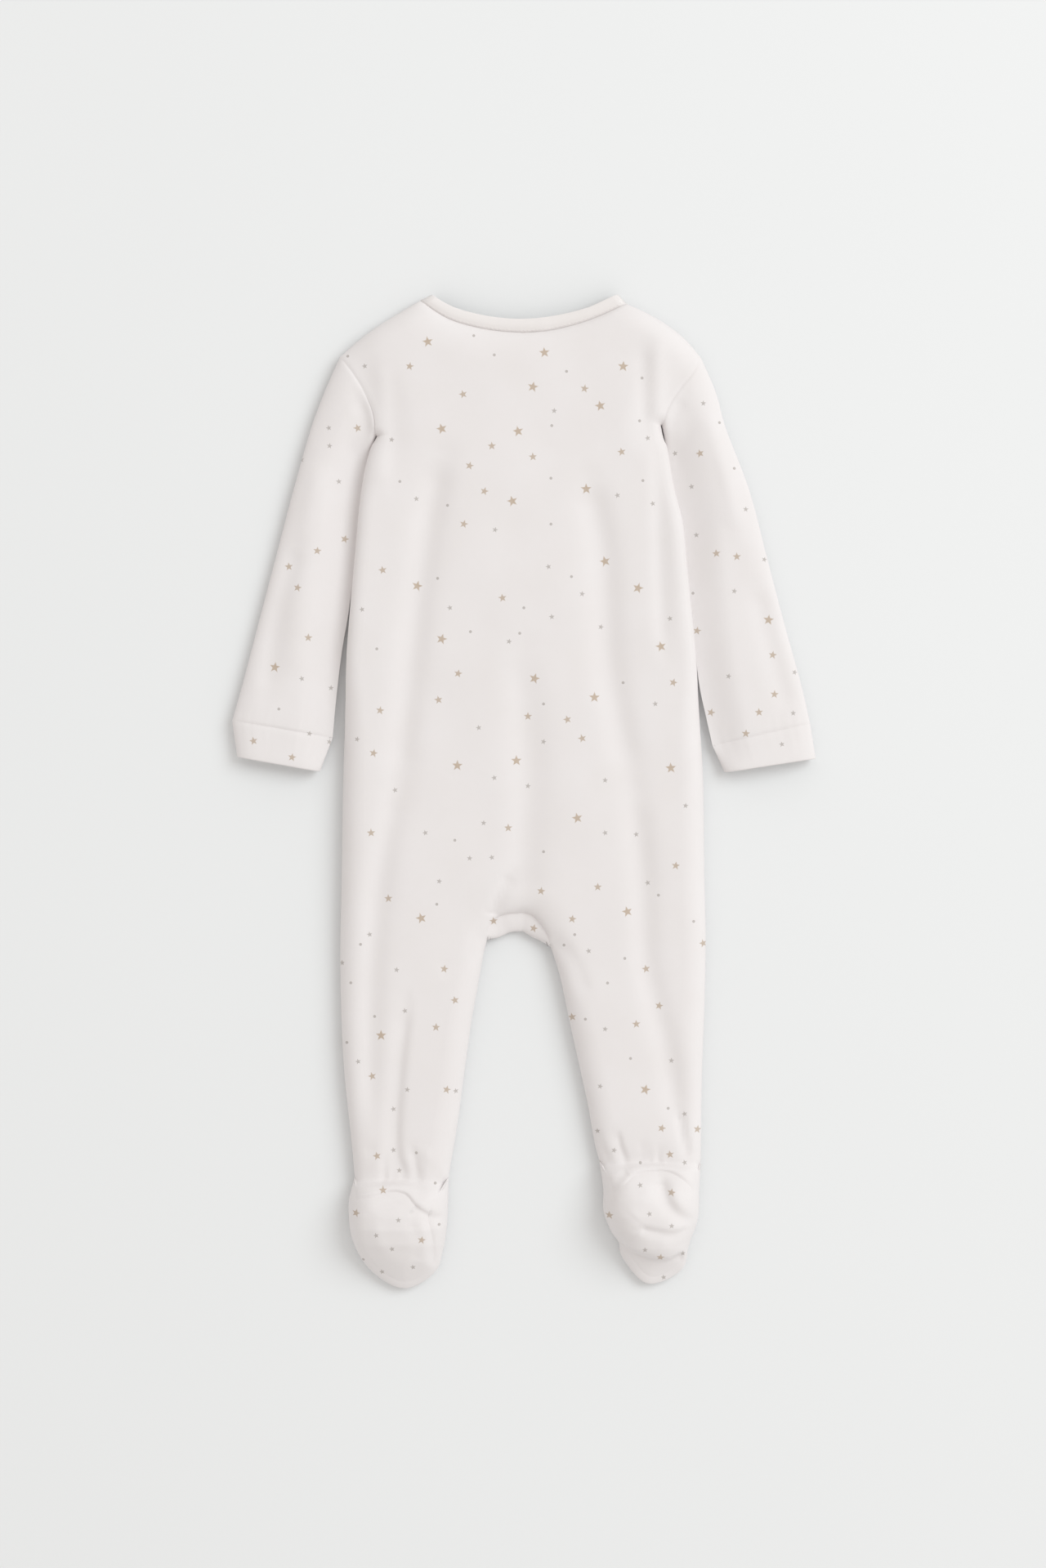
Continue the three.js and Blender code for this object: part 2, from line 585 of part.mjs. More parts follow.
// Gusset: from the back's arch over the fold of the crotch and under it to the fronts
function gussetRows() {
  const column = (side, i) => {
    const arch = side.archPoints[i];
    const edge = side.gussetEdge.getPointAt(i / steps.arch);
    const front = side.gussetFront[i];
    const atTip = i === steps.arch;
    edge.z = atTip ? seamHeight : 4.4;
    const over = [0, 30, 60, 90].map((degrees) => {
      const angle = THREE.MathUtils.degToRad(degrees);
      const p = mixPoints(arch, edge, Math.sin(angle));
      p.z = mix(edge.z, arch.z, Math.cos(angle));
      return p;
    });
    const below = [45, 90].map((degrees) => {
      const angle = THREE.MathUtils.degToRad(degrees);
      const p = mixPoints(edge, front, 1 - Math.cos(angle));
      p.z = mix(front.z, edge.z, 1 - Math.sin(angle));
      return p;
    });
    return [...over, ...below];
  };
  const middle = point(centreX, -77.5);
  for (const side of sides) {
    const [start, , second, low, tip] = side.frontCrotchPoints;
    side.gussetFront = [middle, start, second, low, tip];
  }
  const indexes = range(steps.arch).map((_, i) => i);
  const columns = [
    ...[...indexes].reverse().map((i) => column(left, i)),
    ...indexes.slice(1).map((i) => column(right, i)),
  ];
  return columns[0].map((_, r) => columns.map((points) => points[r]));
}

// Foot upper: from the sole seam out over the side, under it and in to a line below the foot
function upperRows(side) {
  const foot = side.foot;
  const total = foot.stops.length - 1;
  const ankle = [side.legOuter, side.legInner].map((points) => points[points.length - 1]);
  const heelCentre = mixPoints(ankle[0], ankle[1], 0.5).setZ(0);
  const toe = foot.stations.toe.out;
  const toeCentre = point(toe[0], toe[1] + 14);
  const toeStart = 0.42; // from here to the toe, as a share of the way round, all rows end in one point
  return foot.stops.map((t, i) => {
    const seam = foot.seamPoints[i];
    const out = foot.outPoints[i];
    const nearest = foot.stops[Math.min(i, total - i)];
    const centre = mixPoints(heelCentre, toeCentre, Math.min(1, nearest / toeStart));
    const flank = [0, 30, 60].map((degrees) => {
      const angle = THREE.MathUtils.degToRad(degrees);
      const p = mixPoints(seam, out, Math.sin(angle));
      p.z = mix(out.z, seam.z, Math.cos(angle));
      return p;
    });
    const floor = out.clone().setZ(0);
    const width = floor.distanceTo(centre);
    const turned = rollStops.map((stop) => {
      const p = mixPoints(floor, centre, (stop * reach.under) / width);
      p.z = out.z * (1 - round(stop));
      return p;
    });
    const bottom = turned[turned.length - 1];
    return [...flank, ...turned, mixPoints(bottom, centre, 0.5), centre];
  });
}

function solePatch(foot) {
  return between(foot.heelEdge, foot.toeEdge, foot.soleLeft, foot.soleRight,
    (p, u, v) => soleHeight(foot, u, v));
}

// Placket: a straight band down the front, with a round hole for each press stud
function studPlaces() {
  return range(stud.count - 1).map((_, i) => stud.topY - i * stud.pitch);
}

function placketGeometry() {
  const halfWidth = placketWidth / 2 - seamGap / 2;
  const top = left.frontNeck.getPoint(1).y - seamGap / 2;
  const bottom = -77 + seamGap;
  const shape = new THREE.Shape([
    new THREE.Vector2(-halfWidth, bottom), new THREE.Vector2(halfWidth, bottom),
    new THREE.Vector2(halfWidth, top), new THREE.Vector2(-halfWidth, top),
  ]);
  for (const y of studPlaces()) {
    const hole = new THREE.Path();
    hole.absarc(0, y, stud.radius + stud.clearance, 0, 2 * Math.PI, true);
    shape.holes.push(hole);
  }
  return new THREE.ExtrudeGeometry(shape, {
    depth: cloth, bevelEnabled: false, curveSegments: stud.sides,
  });
}

function studGeometry(y) {
  const geometry = new THREE.CylinderGeometry(stud.radius, stud.radius, stud.height, stud.sides);
  geometry.rotateX(Math.PI / 2);
  geometry.translate(0, y, stud.height / 2);
  return geometry;
}

// Materials
const jersey = new THREE.MeshStandardMaterial({ color: '#efece9', roughness: 0.95, metalness: 0 });
const bindingCloth = new THREE.MeshStandardMaterial({ color: '#f0eae3', roughness: 0.95, metalness: 0 });
const studMetal = new THREE.MeshStandardMaterial({ color: '#e9e6e0', roughness: 0.4, metalness: 0 });

const garment = new THREE.Group();
garment.name = 'footed_baby_sleepsuit';

function add(name, geometry, material) {
  const mesh = new THREE.Mesh(geometry, material);
  mesh.name = name;
  garment.add(mesh);
}

add('back', thicken(surface([...backPatches(left), ...backPatches(right)]), cloth), jersey);
for (const side of sides) {
  const name = side === left ? 'left' : 'right';
  const rings = sleeveRings(side);
  add(`front_${name}`, thicken(surface(frontPatches(side), true), cloth), jersey);
  add(`sleeve_${name}`, thicken(surface(closed(rings)), cloth), jersey);
  add(`cuff_${name}`, thicken(surface(closed(cuffRings(side, rings[rings.length - 1]))), doubledCloth), jersey);
  add(`foot_upper_${name}`, thicken(surface([upperRows(side)], true), cloth), jersey);
  add(`sole_${name}`, thicken(surface([solePatch(side.foot)]), cloth), jersey);
}
add('neck_binding', thicken(surface(closed(bindingRings())), doubledCloth), bindingCloth);
add('gusset', thicken(surface([gussetRows()]), cloth), jersey);
add('placket', placketGeometry(), jersey);
studPlaces().forEach((y, i) => add(`stud_${i + 1}`, studGeometry(y), studMetal));

export default garment;
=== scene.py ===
# A footed baby sleepsuit that lies on its front, seen from straight above
import math

import bmesh
import bpy
import numpy as np
from mathutils import Matrix, Vector


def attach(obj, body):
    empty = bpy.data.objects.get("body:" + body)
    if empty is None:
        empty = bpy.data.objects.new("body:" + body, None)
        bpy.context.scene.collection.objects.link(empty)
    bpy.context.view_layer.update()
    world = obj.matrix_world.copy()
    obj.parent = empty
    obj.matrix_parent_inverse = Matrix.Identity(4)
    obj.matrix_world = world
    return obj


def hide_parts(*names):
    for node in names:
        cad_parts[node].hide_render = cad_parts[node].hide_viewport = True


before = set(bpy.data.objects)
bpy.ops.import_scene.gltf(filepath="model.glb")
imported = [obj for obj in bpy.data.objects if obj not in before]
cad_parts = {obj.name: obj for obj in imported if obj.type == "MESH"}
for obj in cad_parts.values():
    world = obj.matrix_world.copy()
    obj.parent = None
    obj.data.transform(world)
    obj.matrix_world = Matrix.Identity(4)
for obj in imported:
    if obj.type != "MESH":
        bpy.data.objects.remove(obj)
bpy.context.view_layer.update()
mm = 0.001
print("frame loaded")

# Outlines of the cut in millimetres, each from the neck towards the feet, as the solids have them
outlines = {
    "left": {
        "shoulder": [(-112.5, 266), (-100.5, 276.5), (-89, 285), (-76, 293), (-63.5, 300.5)],
        "neck": [(-63.5, 300.5), (-55.5, 294.5), (-45.5, 288.7), (-30, 284), (-15, 281.5),
                 (-0.5, 280.5)],
        "armhole": [(-112.5, 266), (-105.5, 257), (-97, 243.5), (-91.5, 230.5), (-90, 217)],
        "side": [(-90, 217), (-94, 204.5), (-98, 184.5), (-102, 144.5), (-107, 84.5), (-110, 24.5),
                 (-111.5, -55.5), (-112.3, -105.5), (-110.3, -165.5), (-105.3, -215.5),
                 (-103.5, -235.5)],
        "arch": [(-0.5, -74), (-10.5, -74.8), (-17, -77.5), (-20.5, -81.5), (-22.5, -90.5)],
        "inseam": [(-22.5, -90.5), (-24.5, -99), (-27.5, -115.5), (-32, -140.5), (-35.5, -165.5),
                   (-41, -205.5), (-46, -235.5)],
        "sleeveOuter": [(-112.5, 266), (-122, 244.5), (-129.5, 224.5), (-141, 184.5),
                        (-151.5, 144.5), (-162, 104.5), (-172.5, 64.5), (-178.5, 43.5)],
        "sleeveInner": [(-90.3, 217), (-95, 204.5), (-99, 184.5), (-103, 144.5), (-107.3, 109.5),
                        (-111.5, 84.5), (-115, 55), (-117, 33)],
        "cuffEnd": [(-175.5, 22), (-124.5, 13)],
        "frontNeck": [(-63.5, 300.5), (-57, 287.5), (-45, 272.5), (-28, 262.5), (-7.65, 257.5)],
        "frontCrotch": [(-7.65, -77), (-14, -80), (-19.5, -85.5), (-22.5, -90.5)],
        "gussetEdge": [(-0.5, -85.5), (-8, -86), (-15.5, -89.2), (-22.5, -90.5)],
        "bindingCorner": (-57, 304),
        "ankleY": -235.5,
    },
    "right": {
        "shoulder": [(108.5, 265.5), (98.5, 277), (87, 286), (75, 293), (63, 298.5)],
        "neck": [(63, 298.5), (57, 295.5), (49.5, 292), (35, 286.5), (15, 281.7), (-0.5, 280.5)],
        "armhole": [(108.5, 265.5), (103, 255.5), (96, 247), (90, 238.5), (84, 224)],
        "side": [(84, 224), (87.5, 204.5), (91, 184.5), (96, 164.5), (99, 134.5), (103, 94.5),
                 (106.5, 54.5), (109.5, 14.5), (110.5, -50.5), (111.3, -92), (110.5, -133),
                 (109, -174), (108.3, -225)],
        "arch": [(-0.5, -74), (4.5, -75), (8.5, -78.5), (14, -86.5), (16.5, -95)],
        "inseam": [(16.5, -95), (20, -105.5), (22.5, -114.5), (28, -140.5), (33.5, -165.5),
                   (39, -190.5), (43.5, -215.5), (46, -225)],
        "sleeveOuter": [(108.5, 265.5), (117.5, 244.5), (123, 224.5), (138, 184.5),
                        (148.5, 144.5), (159, 104.5), (170, 64.5), (175.2, 42)],
        "sleeveInner": [(84.3, 224), (88.6, 204.5), (92.2, 184.5), (97.2, 164.5), (100.1, 134.5),
                        (103.6, 100), (107.5, 64.5), (111.8, 44.5), (115.5, 28)],
        "cuffEnd": [(178.5, 21), (122.5, 12.5)],
        "frontNeck": [(63, 298.5), (57, 287.5), (45, 272.5), (28, 262.5), (7.65, 257.5)],
        "frontCrotch": [(7.65, -78), (11.5, -82), (14.5, -88), (16.5, -95)],
        "gussetEdge": [(-0.5, -85.5), (4.5, -88.5), (9.5, -91), (16.5, -95)],
        "bindingCorner": (58, 304),
        "ankleY": -225,
    },
}
heights = {
    "seam": 5.5, "body": 17, "armhole": 14, "sleeve": 11.5, "leg": 15.5, "neck": 9.5, "crotch": 9.5,
    "side": 14, "under": 8, "neckReach": 20, "crotchReach": 18,
    "armholeIn": 26, "armholeOut": 45, "centreX": -0.5, "hipY": -64, "thighY": -96,
    "besideSleeve": 6, "sleeveSlope": 24, "foot": 19,
}
samples = 24  # points on each stretch of a curve


def mix(a, b, t):
    return a + (b - a) * t


def smooth(t):
    t = np.clip(t, 0, 1)
    return t * t * (3 - 2 * t)


def quarter(t):  # a quarter circle from 0 to 1
    return np.sqrt(np.maximum(0, 1 - (1 - np.clip(t, 0, 1)) ** 2))


def curveThrough(rows):  # close points on a centripetal Catmull-Rom curve
    given = np.array([list(row) + [0.0] * (3 - len(row)) for row in rows], float)
    p = np.vstack([2 * given[0] - given[1], given, 2 * given[-1] - given[-2]])
    t = np.linspace(0, 1, samples, endpoint=False)[:, None]
    stretches = []
    for a, b, c, d in zip(p, p[1:], p[2:], p[3:]):
        before, here, after = (np.linalg.norm(q - r) ** 0.5 for q, r in ((b, a), (c, b), (d, c)))
        leaving = ((b - a) / before - (c - a) / (before + here) + (c - b) / here) * here
        arriving = ((c - b) / here - (d - b) / (here + after) + (d - c) / after) * here
        bend = 3 * (c - b) - 2 * leaving - arriving
        twist = 2 * (b - c) + leaving + arriving
        stretches.append(b + leaving * t + bend * t ** 2 + twist * t ** 3)
    return np.vstack(stretches + [given[-1:]])


def along(curve, stops):  # points at shares of a curve's length
    steps = np.linalg.norm(np.diff(curve, axis=0), axis=1)
    far = np.concatenate([[0], np.cumsum(steps)]) / steps.sum()
    return np.stack([np.interp(stops, far, curve[:, i]) for i in range(3)], 1)


def atStations(curve, places):  # points at places counted in the curve's own stretches
    index = np.arange(len(curve)) / samples
    return np.stack([np.interp(places, index, curve[:, i]) for i in range(3)], 1)


def crossings(curve, ys):  # points where a curve that runs down crosses each y
    points = np.zeros((len(ys), 3))
    points[:, 0] = np.interp(-np.asarray(ys), -curve[:, 1], curve[:, 0])
    points[:, 1] = ys
    return points


def nearestOn(curve, x, y):  # distance to a curve, share along it, and side of it
    line = np.vstack([curve[:-1:3], curve[-1:]])[:, :2]
    start, step = line[:-1], np.diff(line, axis=0)
    fromX = np.ravel(x)[:, None] - start[:, 0]
    fromY = np.ravel(y)[:, None] - start[:, 1]
    t = np.clip((fromX * step[:, 0] + fromY * step[:, 1]) / (step ** 2).sum(1), 0, 1)
    offX, offY = fromX - t * step[:, 0], fromY - t * step[:, 1]
    away = offX ** 2 + offY ** 2
    best = away.argmin(1)
    every = np.arange(len(best))
    side = step[best, 1] * offX[every, best] - step[best, 0] * offY[every, best]
    share = (best + t[every, best]) / len(step)
    shape = np.shape(x)
    return np.sqrt(away[every, best]).reshape(shape), share.reshape(shape), np.sign(side).reshape(shape)


def distanceTo(curves, x, y):
    return np.min([nearestOn(curve, x, y)[0] for curve in curves], axis=0)


sides = {}
for name, rows in outlines.items():
    side = {key: curveThrough(row) for key, row in rows.items()
            if isinstance(row, list) and key != "cuffEnd"}
    side["cuffEnd"] = np.array([(x, y, 0) for x, y in rows["cuffEnd"]], float)
    side["ankleY"] = rows["ankleY"]
    side["sign"] = -1 if name == "left" else 1
    corner = [side["neck"][0], (*rows["bindingCorner"], 0)]
    side["edges"] = [side["shoulder"], side["side"], side["inseam"], side["sleeveOuter"],
                     side["sleeveInner"], np.array([side["sleeveOuter"][-1], side["cuffEnd"][0]]),
                     np.array([side["sleeveInner"][-1], side["cuffEnd"][1]]), np.array(corner)]
    sides[name] = side
left, right = sides["left"], sides["right"]
silhouette = left["edges"] + right["edges"]
sleeveInners = [left["sleeveInner"], right["sleeveInner"]]

# Troughs and ridges of the cloth, with how deep, how wide on the left and right of the line as it
# runs, and whether they are on the body or a sleeve
folds = {
    "body": [
        ([(-50, 205), (-58, 164.5), (-65.5, 110), (-72, 52), (-77, 3.5)], 3.4, 9, 9),
        ([(-77, 3.5), (-86.5, -45), (-92.5, -105.5), (-94.5, -215.5)], 2.6, 8, 7),
        ([(-2, 84.5), (2, 20), (1, -30), (-0.5, -68)], 2.8, 12, 10),
        ([(39.5, 189.5), (48, 145), (52, 76), (66.5, 3.5)], 3.2, 9, 10),
        ([(66.5, 3.5), (71.5, -45), (75, -105.5), (86.5, -155), (97, -210)], 2.8, 8, 8),
        ([(-71, -130), (-76, -171.5), (-77.5, -221.5), (-73, -234)], 2.3, 3.5, 7),
        ([(82.5, 214.5), (83, 150), (85.5, 84.5)], 1.8, 6, 5),
        ([(81, 274.5), (81.5, 224.5)], -1.6, 5, 5),
        ([(73, 268), (74, 226)], 1.2, 4, 5),
        ([(-87.5, 262), (-85.5, 225), (-87.5, 184.5)], -1.4, 5, 6),
        ([(-20, -76.5), (-16.5, -65.5), (-8, -50.5)], 2.4, 3, 5),
        ([(-68, -218), (-66, -226), (-65.5, -236)], 1.3, 2.5, 3),
        ([(-61, -219), (-54, -228), (-48.5, -236)], -1, 2.5, 3),
        ([(-57, -224), (-53, -231), (-52, -236)], 1.1, 2.5, 3),
        ([(-84, -224), (-86.5, -236)], 0.8, 3, 3),
        ([(-93, -215), (-96, -236)], 0.7, 4, 3),
        ([(43.5, -206), (47, -216), (53, -226)], 1.6, 2, 3),
        ([(57, -208), (59, -217), (63, -226)], 1.7, 2, 3.5),
        ([(72, -214), (73, -226)], 0.7, 4, 3),
        ([(84, -216), (81.5, -226)], 0.8, 3, 4),
        ([(95, -196), (97, -208), (100.5, -223)], 2.3, 2.5, 3),
        ([(23.5, -93), (31, -104), (38, -123)], 1.2, 4, 6),
        ([(-28, -96), (-38, -104), (-52, -110)], 1, 5, 5),
    ],
    "sleeve": [
        ([(-124, 205), (-133, 140), (-142, 66)], -1.6, 8, 8),
        ([(-138, 150), (-150, 110), (-158, 60)], 1.6, 6, 6),
        ([(112, 234.5), (122, 195), (129.5, 159.5)], -1.6, 7, 7),
        ([(142, 124.5), (152, 85), (162, 50)], 1.8, 7, 7),
        ([(-101, 240), (-96.5, 225), (-97, 208), (-101, 185)], 2, 4, 5),
        ([(98, 240), (91, 228), (91, 214), (94, 190)], 1.6, 4, 5),
    ],
}


foldEnds = {"share": 0.12, "least": 0.35}  # how much of a fold fades at each end, and to what


def foldDepth(x, y, rows):
    depth = np.zeros(np.shape(x))
    for points, deep, leftWidth, rightWidth in rows:
        away, share, turned = nearestOn(curveThrough(points), x, y)
        width = np.where(turned > 0, rightWidth, leftWidth)
        ends = smooth(share / foldEnds["share"]) * smooth((1 - share) / foldEnds["share"])
        depth += deep * np.exp(-((away / width) ** 2)) * mix(foldEnds["least"], 1, ends)
    return depth


stepEdge = {"share": 0.08, "half": 1.1}  # where a step fades at its ends, and half its width in mm


def stepDepth(x, y, rows):  # cloth that rolls over a lower part, then slowly meets it again
    depth = np.zeros(np.shape(x))
    for points, deep, far in rows:
        away, share, turned = nearestOn(curveThrough(points), x, y)
        past = away * turned
        ends = smooth(share / stepEdge["share"]) * smooth((1 - share) / stepEdge["share"])
        drop = smooth((past + stepEdge["half"]) / (2 * stepEdge["half"]))
        depth += deep * drop * np.exp(-np.maximum(past, 0) / far) * ends
    return depth


waves = [(0.31, 0.055, 0.012, 0.6), (0.28, -0.021, 0.048, 2.1), (0.22, 0.083, -0.037, 4.4),
         (0.16, 0.034, 0.101, 1.3), (0.1, 0.151, 0.06, 3.2)]  # height, per mm in x and y, start


def undulation(x, y):  # long soft unevenness of cloth that was laid by hand
    return sum(high * np.sin(x * perX + y * perY + start) for high, perX, perY, start in waves)


def groove(distance, deep=0.35, wide=1.1):
    return deep * np.exp(-((distance / wide) ** 2))


armholeGroove = {"deep": 0.6, "wide": 0.9}
cuffGroove = {"deep": 0.7, "wide": 1.1}


def settle(z, level, distance, width):
    return np.where(z > level, level + (z - level) * quarter(distance / width), z)


def nearSleeve(y, top=219, over=9):  # 1 where a sleeve lies against the body
    return smooth((top - y) / over) * smooth((y - 20) / 70)


def riseAtEdge(x, y, fromArmhole, onSleeve):
    edge = distanceTo(silhouette, x, y)
    tighter = nearSleeve(y, 244, 22) * (np.abs(x) > 40)
    if not onSleeve:
        return quarter(edge / mix(heights["side"], heights["besideSleeve"], tighter))
    reach = mix(heights["side"], heights["besideSleeve"], tighter * (1 - smooth(fromArmhole / 16)))
    rise = quarter(edge / reach)
    slope = smooth(distanceTo(sleeveInners, x, y) / heights["sleeveSlope"])
    return mix(rise, np.minimum(rise, slope), smooth(fromArmhole / 20))


def topHeight(x, y, onSleeve=False):
    fromArmhole = distanceTo([left["armhole"], right["armhole"]], x, y)
    full = mix(heights["body"], heights["leg"], smooth((-40 - y) / 70))
    full = mix(heights["armhole"], full, smooth(fromArmhole / heights["armholeIn"]))
    if onSleeve:
        far = smooth(fromArmhole / heights["armholeOut"])
        full = mix(heights["armhole"], heights["sleeve"], far)
    rise = riseAtEdge(x, y, fromArmhole, onSleeve)
    z = mix(heights["seam"], full, rise)
    if not onSleeve:
        fromNeck = distanceTo([left["neck"], right["neck"]], x, y)
        z = settle(z, heights["neck"], fromNeck, heights["neckReach"])
        fromArch = distanceTo([left["arch"], right["arch"]], x, y)
        z = settle(z, heights["crotch"], fromArch, heights["crotchReach"])
        z = z - groove(fromNeck) - groove(fromArch)
    z = z - (foldDepth(x, y, folds["sleeve" if onSleeve else "body"]) - undulation(x, y)) * rise
    return z - groove(fromArmhole, **armholeGroove) * rise


def underHeight(x, y):
    edge = distanceTo(silhouette, x, y)
    return heights["seam"] * (1 - quarter(edge / heights["under"]))


def withHeights(points, height, ends=("seam", "seam")):
    raised = points.copy()
    raised[:, 2] = height(points[:, 0], points[:, 1])
    for row, level in ((0, ends[0]), (-1, ends[1])):
        if level == "seam":
            raised[row, 2] = heights["seam"]
    return raised


# How finely each stretch is divided
across = 48  # from one edge of half a back to the other
rolled = 8  # of these, on the turn at an edge
divisions = {"shoulder": 22, "body": 116, "arch": 14, "leg": 54, "sleeve": 96, "cuff": 10}
seamRows = {"shoulder": 60, "sleeve": 250, "near": 12, "count": 9}  # close rows beside seams, in mm
armStops = (1 - np.cos(np.linspace(0, np.pi, 35))) / 2
underStops = (1 - np.cos(np.linspace(0, np.pi, 23))) / 2


def columnStops(width, roll, count, turned, bothEnds):
    edge = (1 - np.cos(np.linspace(0, np.pi / 2, turned + 1))) * roll / width
    if bothEnds:
        middle = np.linspace(edge[-1], 1 - edge[-1], count - 2 * turned + 1)[1:-1]
        return np.concatenate([edge, middle, (1 - edge)[::-1]])
    return np.concatenate([edge, np.linspace(edge[-1], 1, count - turned + 1)[1:]])


def rowBetween(outer, inner, roll, count, turned, atLeg):
    width = np.linalg.norm(outer - inner)
    body = columnStops(width, roll, count, turned, False)
    leg = columnStops(width, roll, count, turned, True)
    return mix(outer, inner, mix(body, leg, atLeg)[:, None])


def between(top, bottom, start, end, stops):  # a patch stretched between four edges
    u = np.linspace(0, 1, len(top))[None, :, None]
    v = np.asarray(stops)[:, None, None]
    patch = mix(top[None], bottom[None], v) + mix(start[:, None], end[:, None], u)
    patch = patch - mix(mix(top[0], bottom[0], v), mix(top[-1], bottom[-1], v), u)
    patch[0], patch[-1] = top, bottom
    patch[:, 0], patch[:, -1] = start, end
    return patch


def leftToRight(side, row):
    return row if side is left else row[::-1]


feet = {
    "left": {
        "stations": [  # outermost point, then the sole's seam beside it, round the foot
            ((-103.5, -235.5), (-103.5, -235.5)), ((-107, -250), (-102, -249)),
            ((-107, -261), (-103, -261.5)), ((-104.5, -275), (-100.5, -273.5)),
            ((-94, -292.5), (-91.5, -288.5)), ((-73, -304), (-73, -299.5)),
            ((-54, -293.5), (-57.5, -291)), ((-49.5, -280.5), (-54.5, -280)),
            ((-47, -265), (-56.5, -266)), ((-46.3, -250), (-58, -256)),
            ((-46, -235.5), (-46, -235.5))],
        "heelSeam": [(-102, -249), (-98, -247.5), (-89, -245.5), (-80.5, -243.5), (-72, -245),
                     (-66, -251), (-58, -256)],
        "crown": [(-235.5, 14.5), (-241, 20), (-248, 24.5), (-258, 28), (-266, 28.5), (-276, 25.5),
                  (-288, 18.5), (-298, 12), (-304, 8.5)],
        "folds": [
            ([(-60, -256), (-54, -258), (-48, -260)], 1.6, 2, 4),
            ([(-58.5, -258), (-56, -270), (-55.5, -280.5), (-53, -290.5)], 1.5, 2, 3),
            ([(-80, -250), (-76, -262), (-74, -278)], -1, 9, 8),
            ([(-92, -254), (-95, -268), (-90, -284)], 0.9, 5, 5),
            ([(-67, -262), (-64, -272), (-66, -286)], 1, 5, 4)],
        "steps": [([(-66, -251), (-62, -254), (-58, -256), (-50, -258)], 1.5, 8)],
        "puff": 2.1, "notch": 0,
    },
    "right": {
        "stations": [
            ((46, -225), (46, -225)), ((48.6, -243), (54.5, -243.5)), ((48.6, -256), (52.5, -256)),
            ((53, -268.5), (57, -266)), ((61.5, -287), (66, -285)), ((76, -301), (78, -296.5)),
            ((97, -292), (93.5, -289)), ((101, -277), (98, -276)), ((106.5, -261), (102.5, -260)),
            ((107.3, -243), (103.5, -243)), ((108.3, -225), (108.3, -225))],
        "heelSeam": [(54.5, -243.5), (59.5, -240), (67, -233.5), (79.5, -231), (89.5, -232),
                     (98, -237), (103.5, -243)],
        "crown": [(-225, 14.5), (-230, 20), (-238, 25), (-248, 29.5), (-258, 30.5), (-268, 29.5),
                  (-278, 25.5), (-286, 19), (-294, 13), (-301, 9)],
        "folds": [
            ([(83.5, -235.5), (85.5, -245.5), (92, -255.5), (104.5, -262)], 3.4, 4, 5),
            ([(70.5, -264.5), (80, -266.5), (89.5, -268), (102, -265.5)], 2.2, 1.8, 4),
            ([(63, -230.5), (57, -237), (50.5, -246)], 2, 2.5, 3),
            ([(76, -238), (72, -250), (66, -258)], -1, 7, 6)],
        "steps": [([(50, -263), (54.5, -269.5), (59.5, -274.5), (67, -279.5), (74.5, -282.5),
                    (82, -284.5), (89.5, -284), (98, -279)], 6.5, 18)],
        "puff": 1.6, "notch": 2.3,
    },
}
notch = {"y": -276, "within": 75, "spread": 4.5}  # where the heel bulges past the toe, in mm
stationSteps = [14, 12, 14, 14, across // 2, across // 2, 14, 14, 12, 14]
toeStart = 0.42


def footHeight(foot, x, y):  # heel, sole and upper share one form
    rounder = smooth((foot["crown"][0][0] - y) / 24)
    reach = mix(heights["side"], heights["foot"], rounder)
    rise = quarter(distanceTo([foot["outline"]], x, y) / reach)
    crownY, crownZ = np.array(foot["crown"]).T
    z = mix(heights["seam"], np.interp(-y, -crownY, crownZ), rise)
    z = z - (foldDepth(x, y, foot["folds"]) - undulation(x * 2, y * 2)) * rise
    z = z - stepDepth(x, y, foot["steps"]) * rise
    return z - groove(distanceTo(foot["seams"], x, y)) * rise


def footPoints(name):
    foot = dict(feet[name])
    outline = curveThrough([row[0] for row in foot["stations"]])
    toeSide = np.exp(-((outline[:, 1] - notch["y"]) / notch["spread"]) ** 2)
    toeSide *= outline[:, 0] < notch["within"]
    outline[:, 0] += foot["notch"] * toeSide
    foot["outline"] = outline
    soleSeam = curveThrough([row[1] for row in foot["stations"]])
    foot["seams"] = [soleSeam, curveThrough(foot["heelSeam"])]
    stops = [0.0]
    for i, count in enumerate(stationSteps):
        stops += [i + (n + 1) / count for n in range(count)]
    foot["stops"] = np.array(stops) / len(stationSteps)
    foot["seam"], foot["out"] = atStations(soleSeam, stops), atStations(foot["outline"], stops)
    foot["seam"][:, 2] = footHeight(foot, foot["seam"][:, 0], foot["seam"][:, 1])
    foot["out"][:, 2] = heights["seam"]
    heel = stationSteps[0]
    flank = sum(stationSteps[:4])
    total = len(stops) - 1
    foot["heelLeft"] = foot["seam"][:heel + 1]
    foot["heelRight"] = foot["seam"][total - heel:][::-1]
    foot["soleLeft"] = foot["seam"][heel:flank + 1]
    foot["soleRight"] = foot["seam"][total - flank:total - heel + 1][::-1]
    foot["toeEdge"] = foot["seam"][flank:total - flank + 1]
    edge = along(foot["seams"][1], np.linspace(0, 1, across + 1))
    edge[:, 2] = footHeight(foot, edge[:, 0], edge[:, 1])
    edge[0], edge[-1] = foot["soleLeft"][0], foot["soleRight"][0]
    foot["heelEdge"] = edge
    return foot


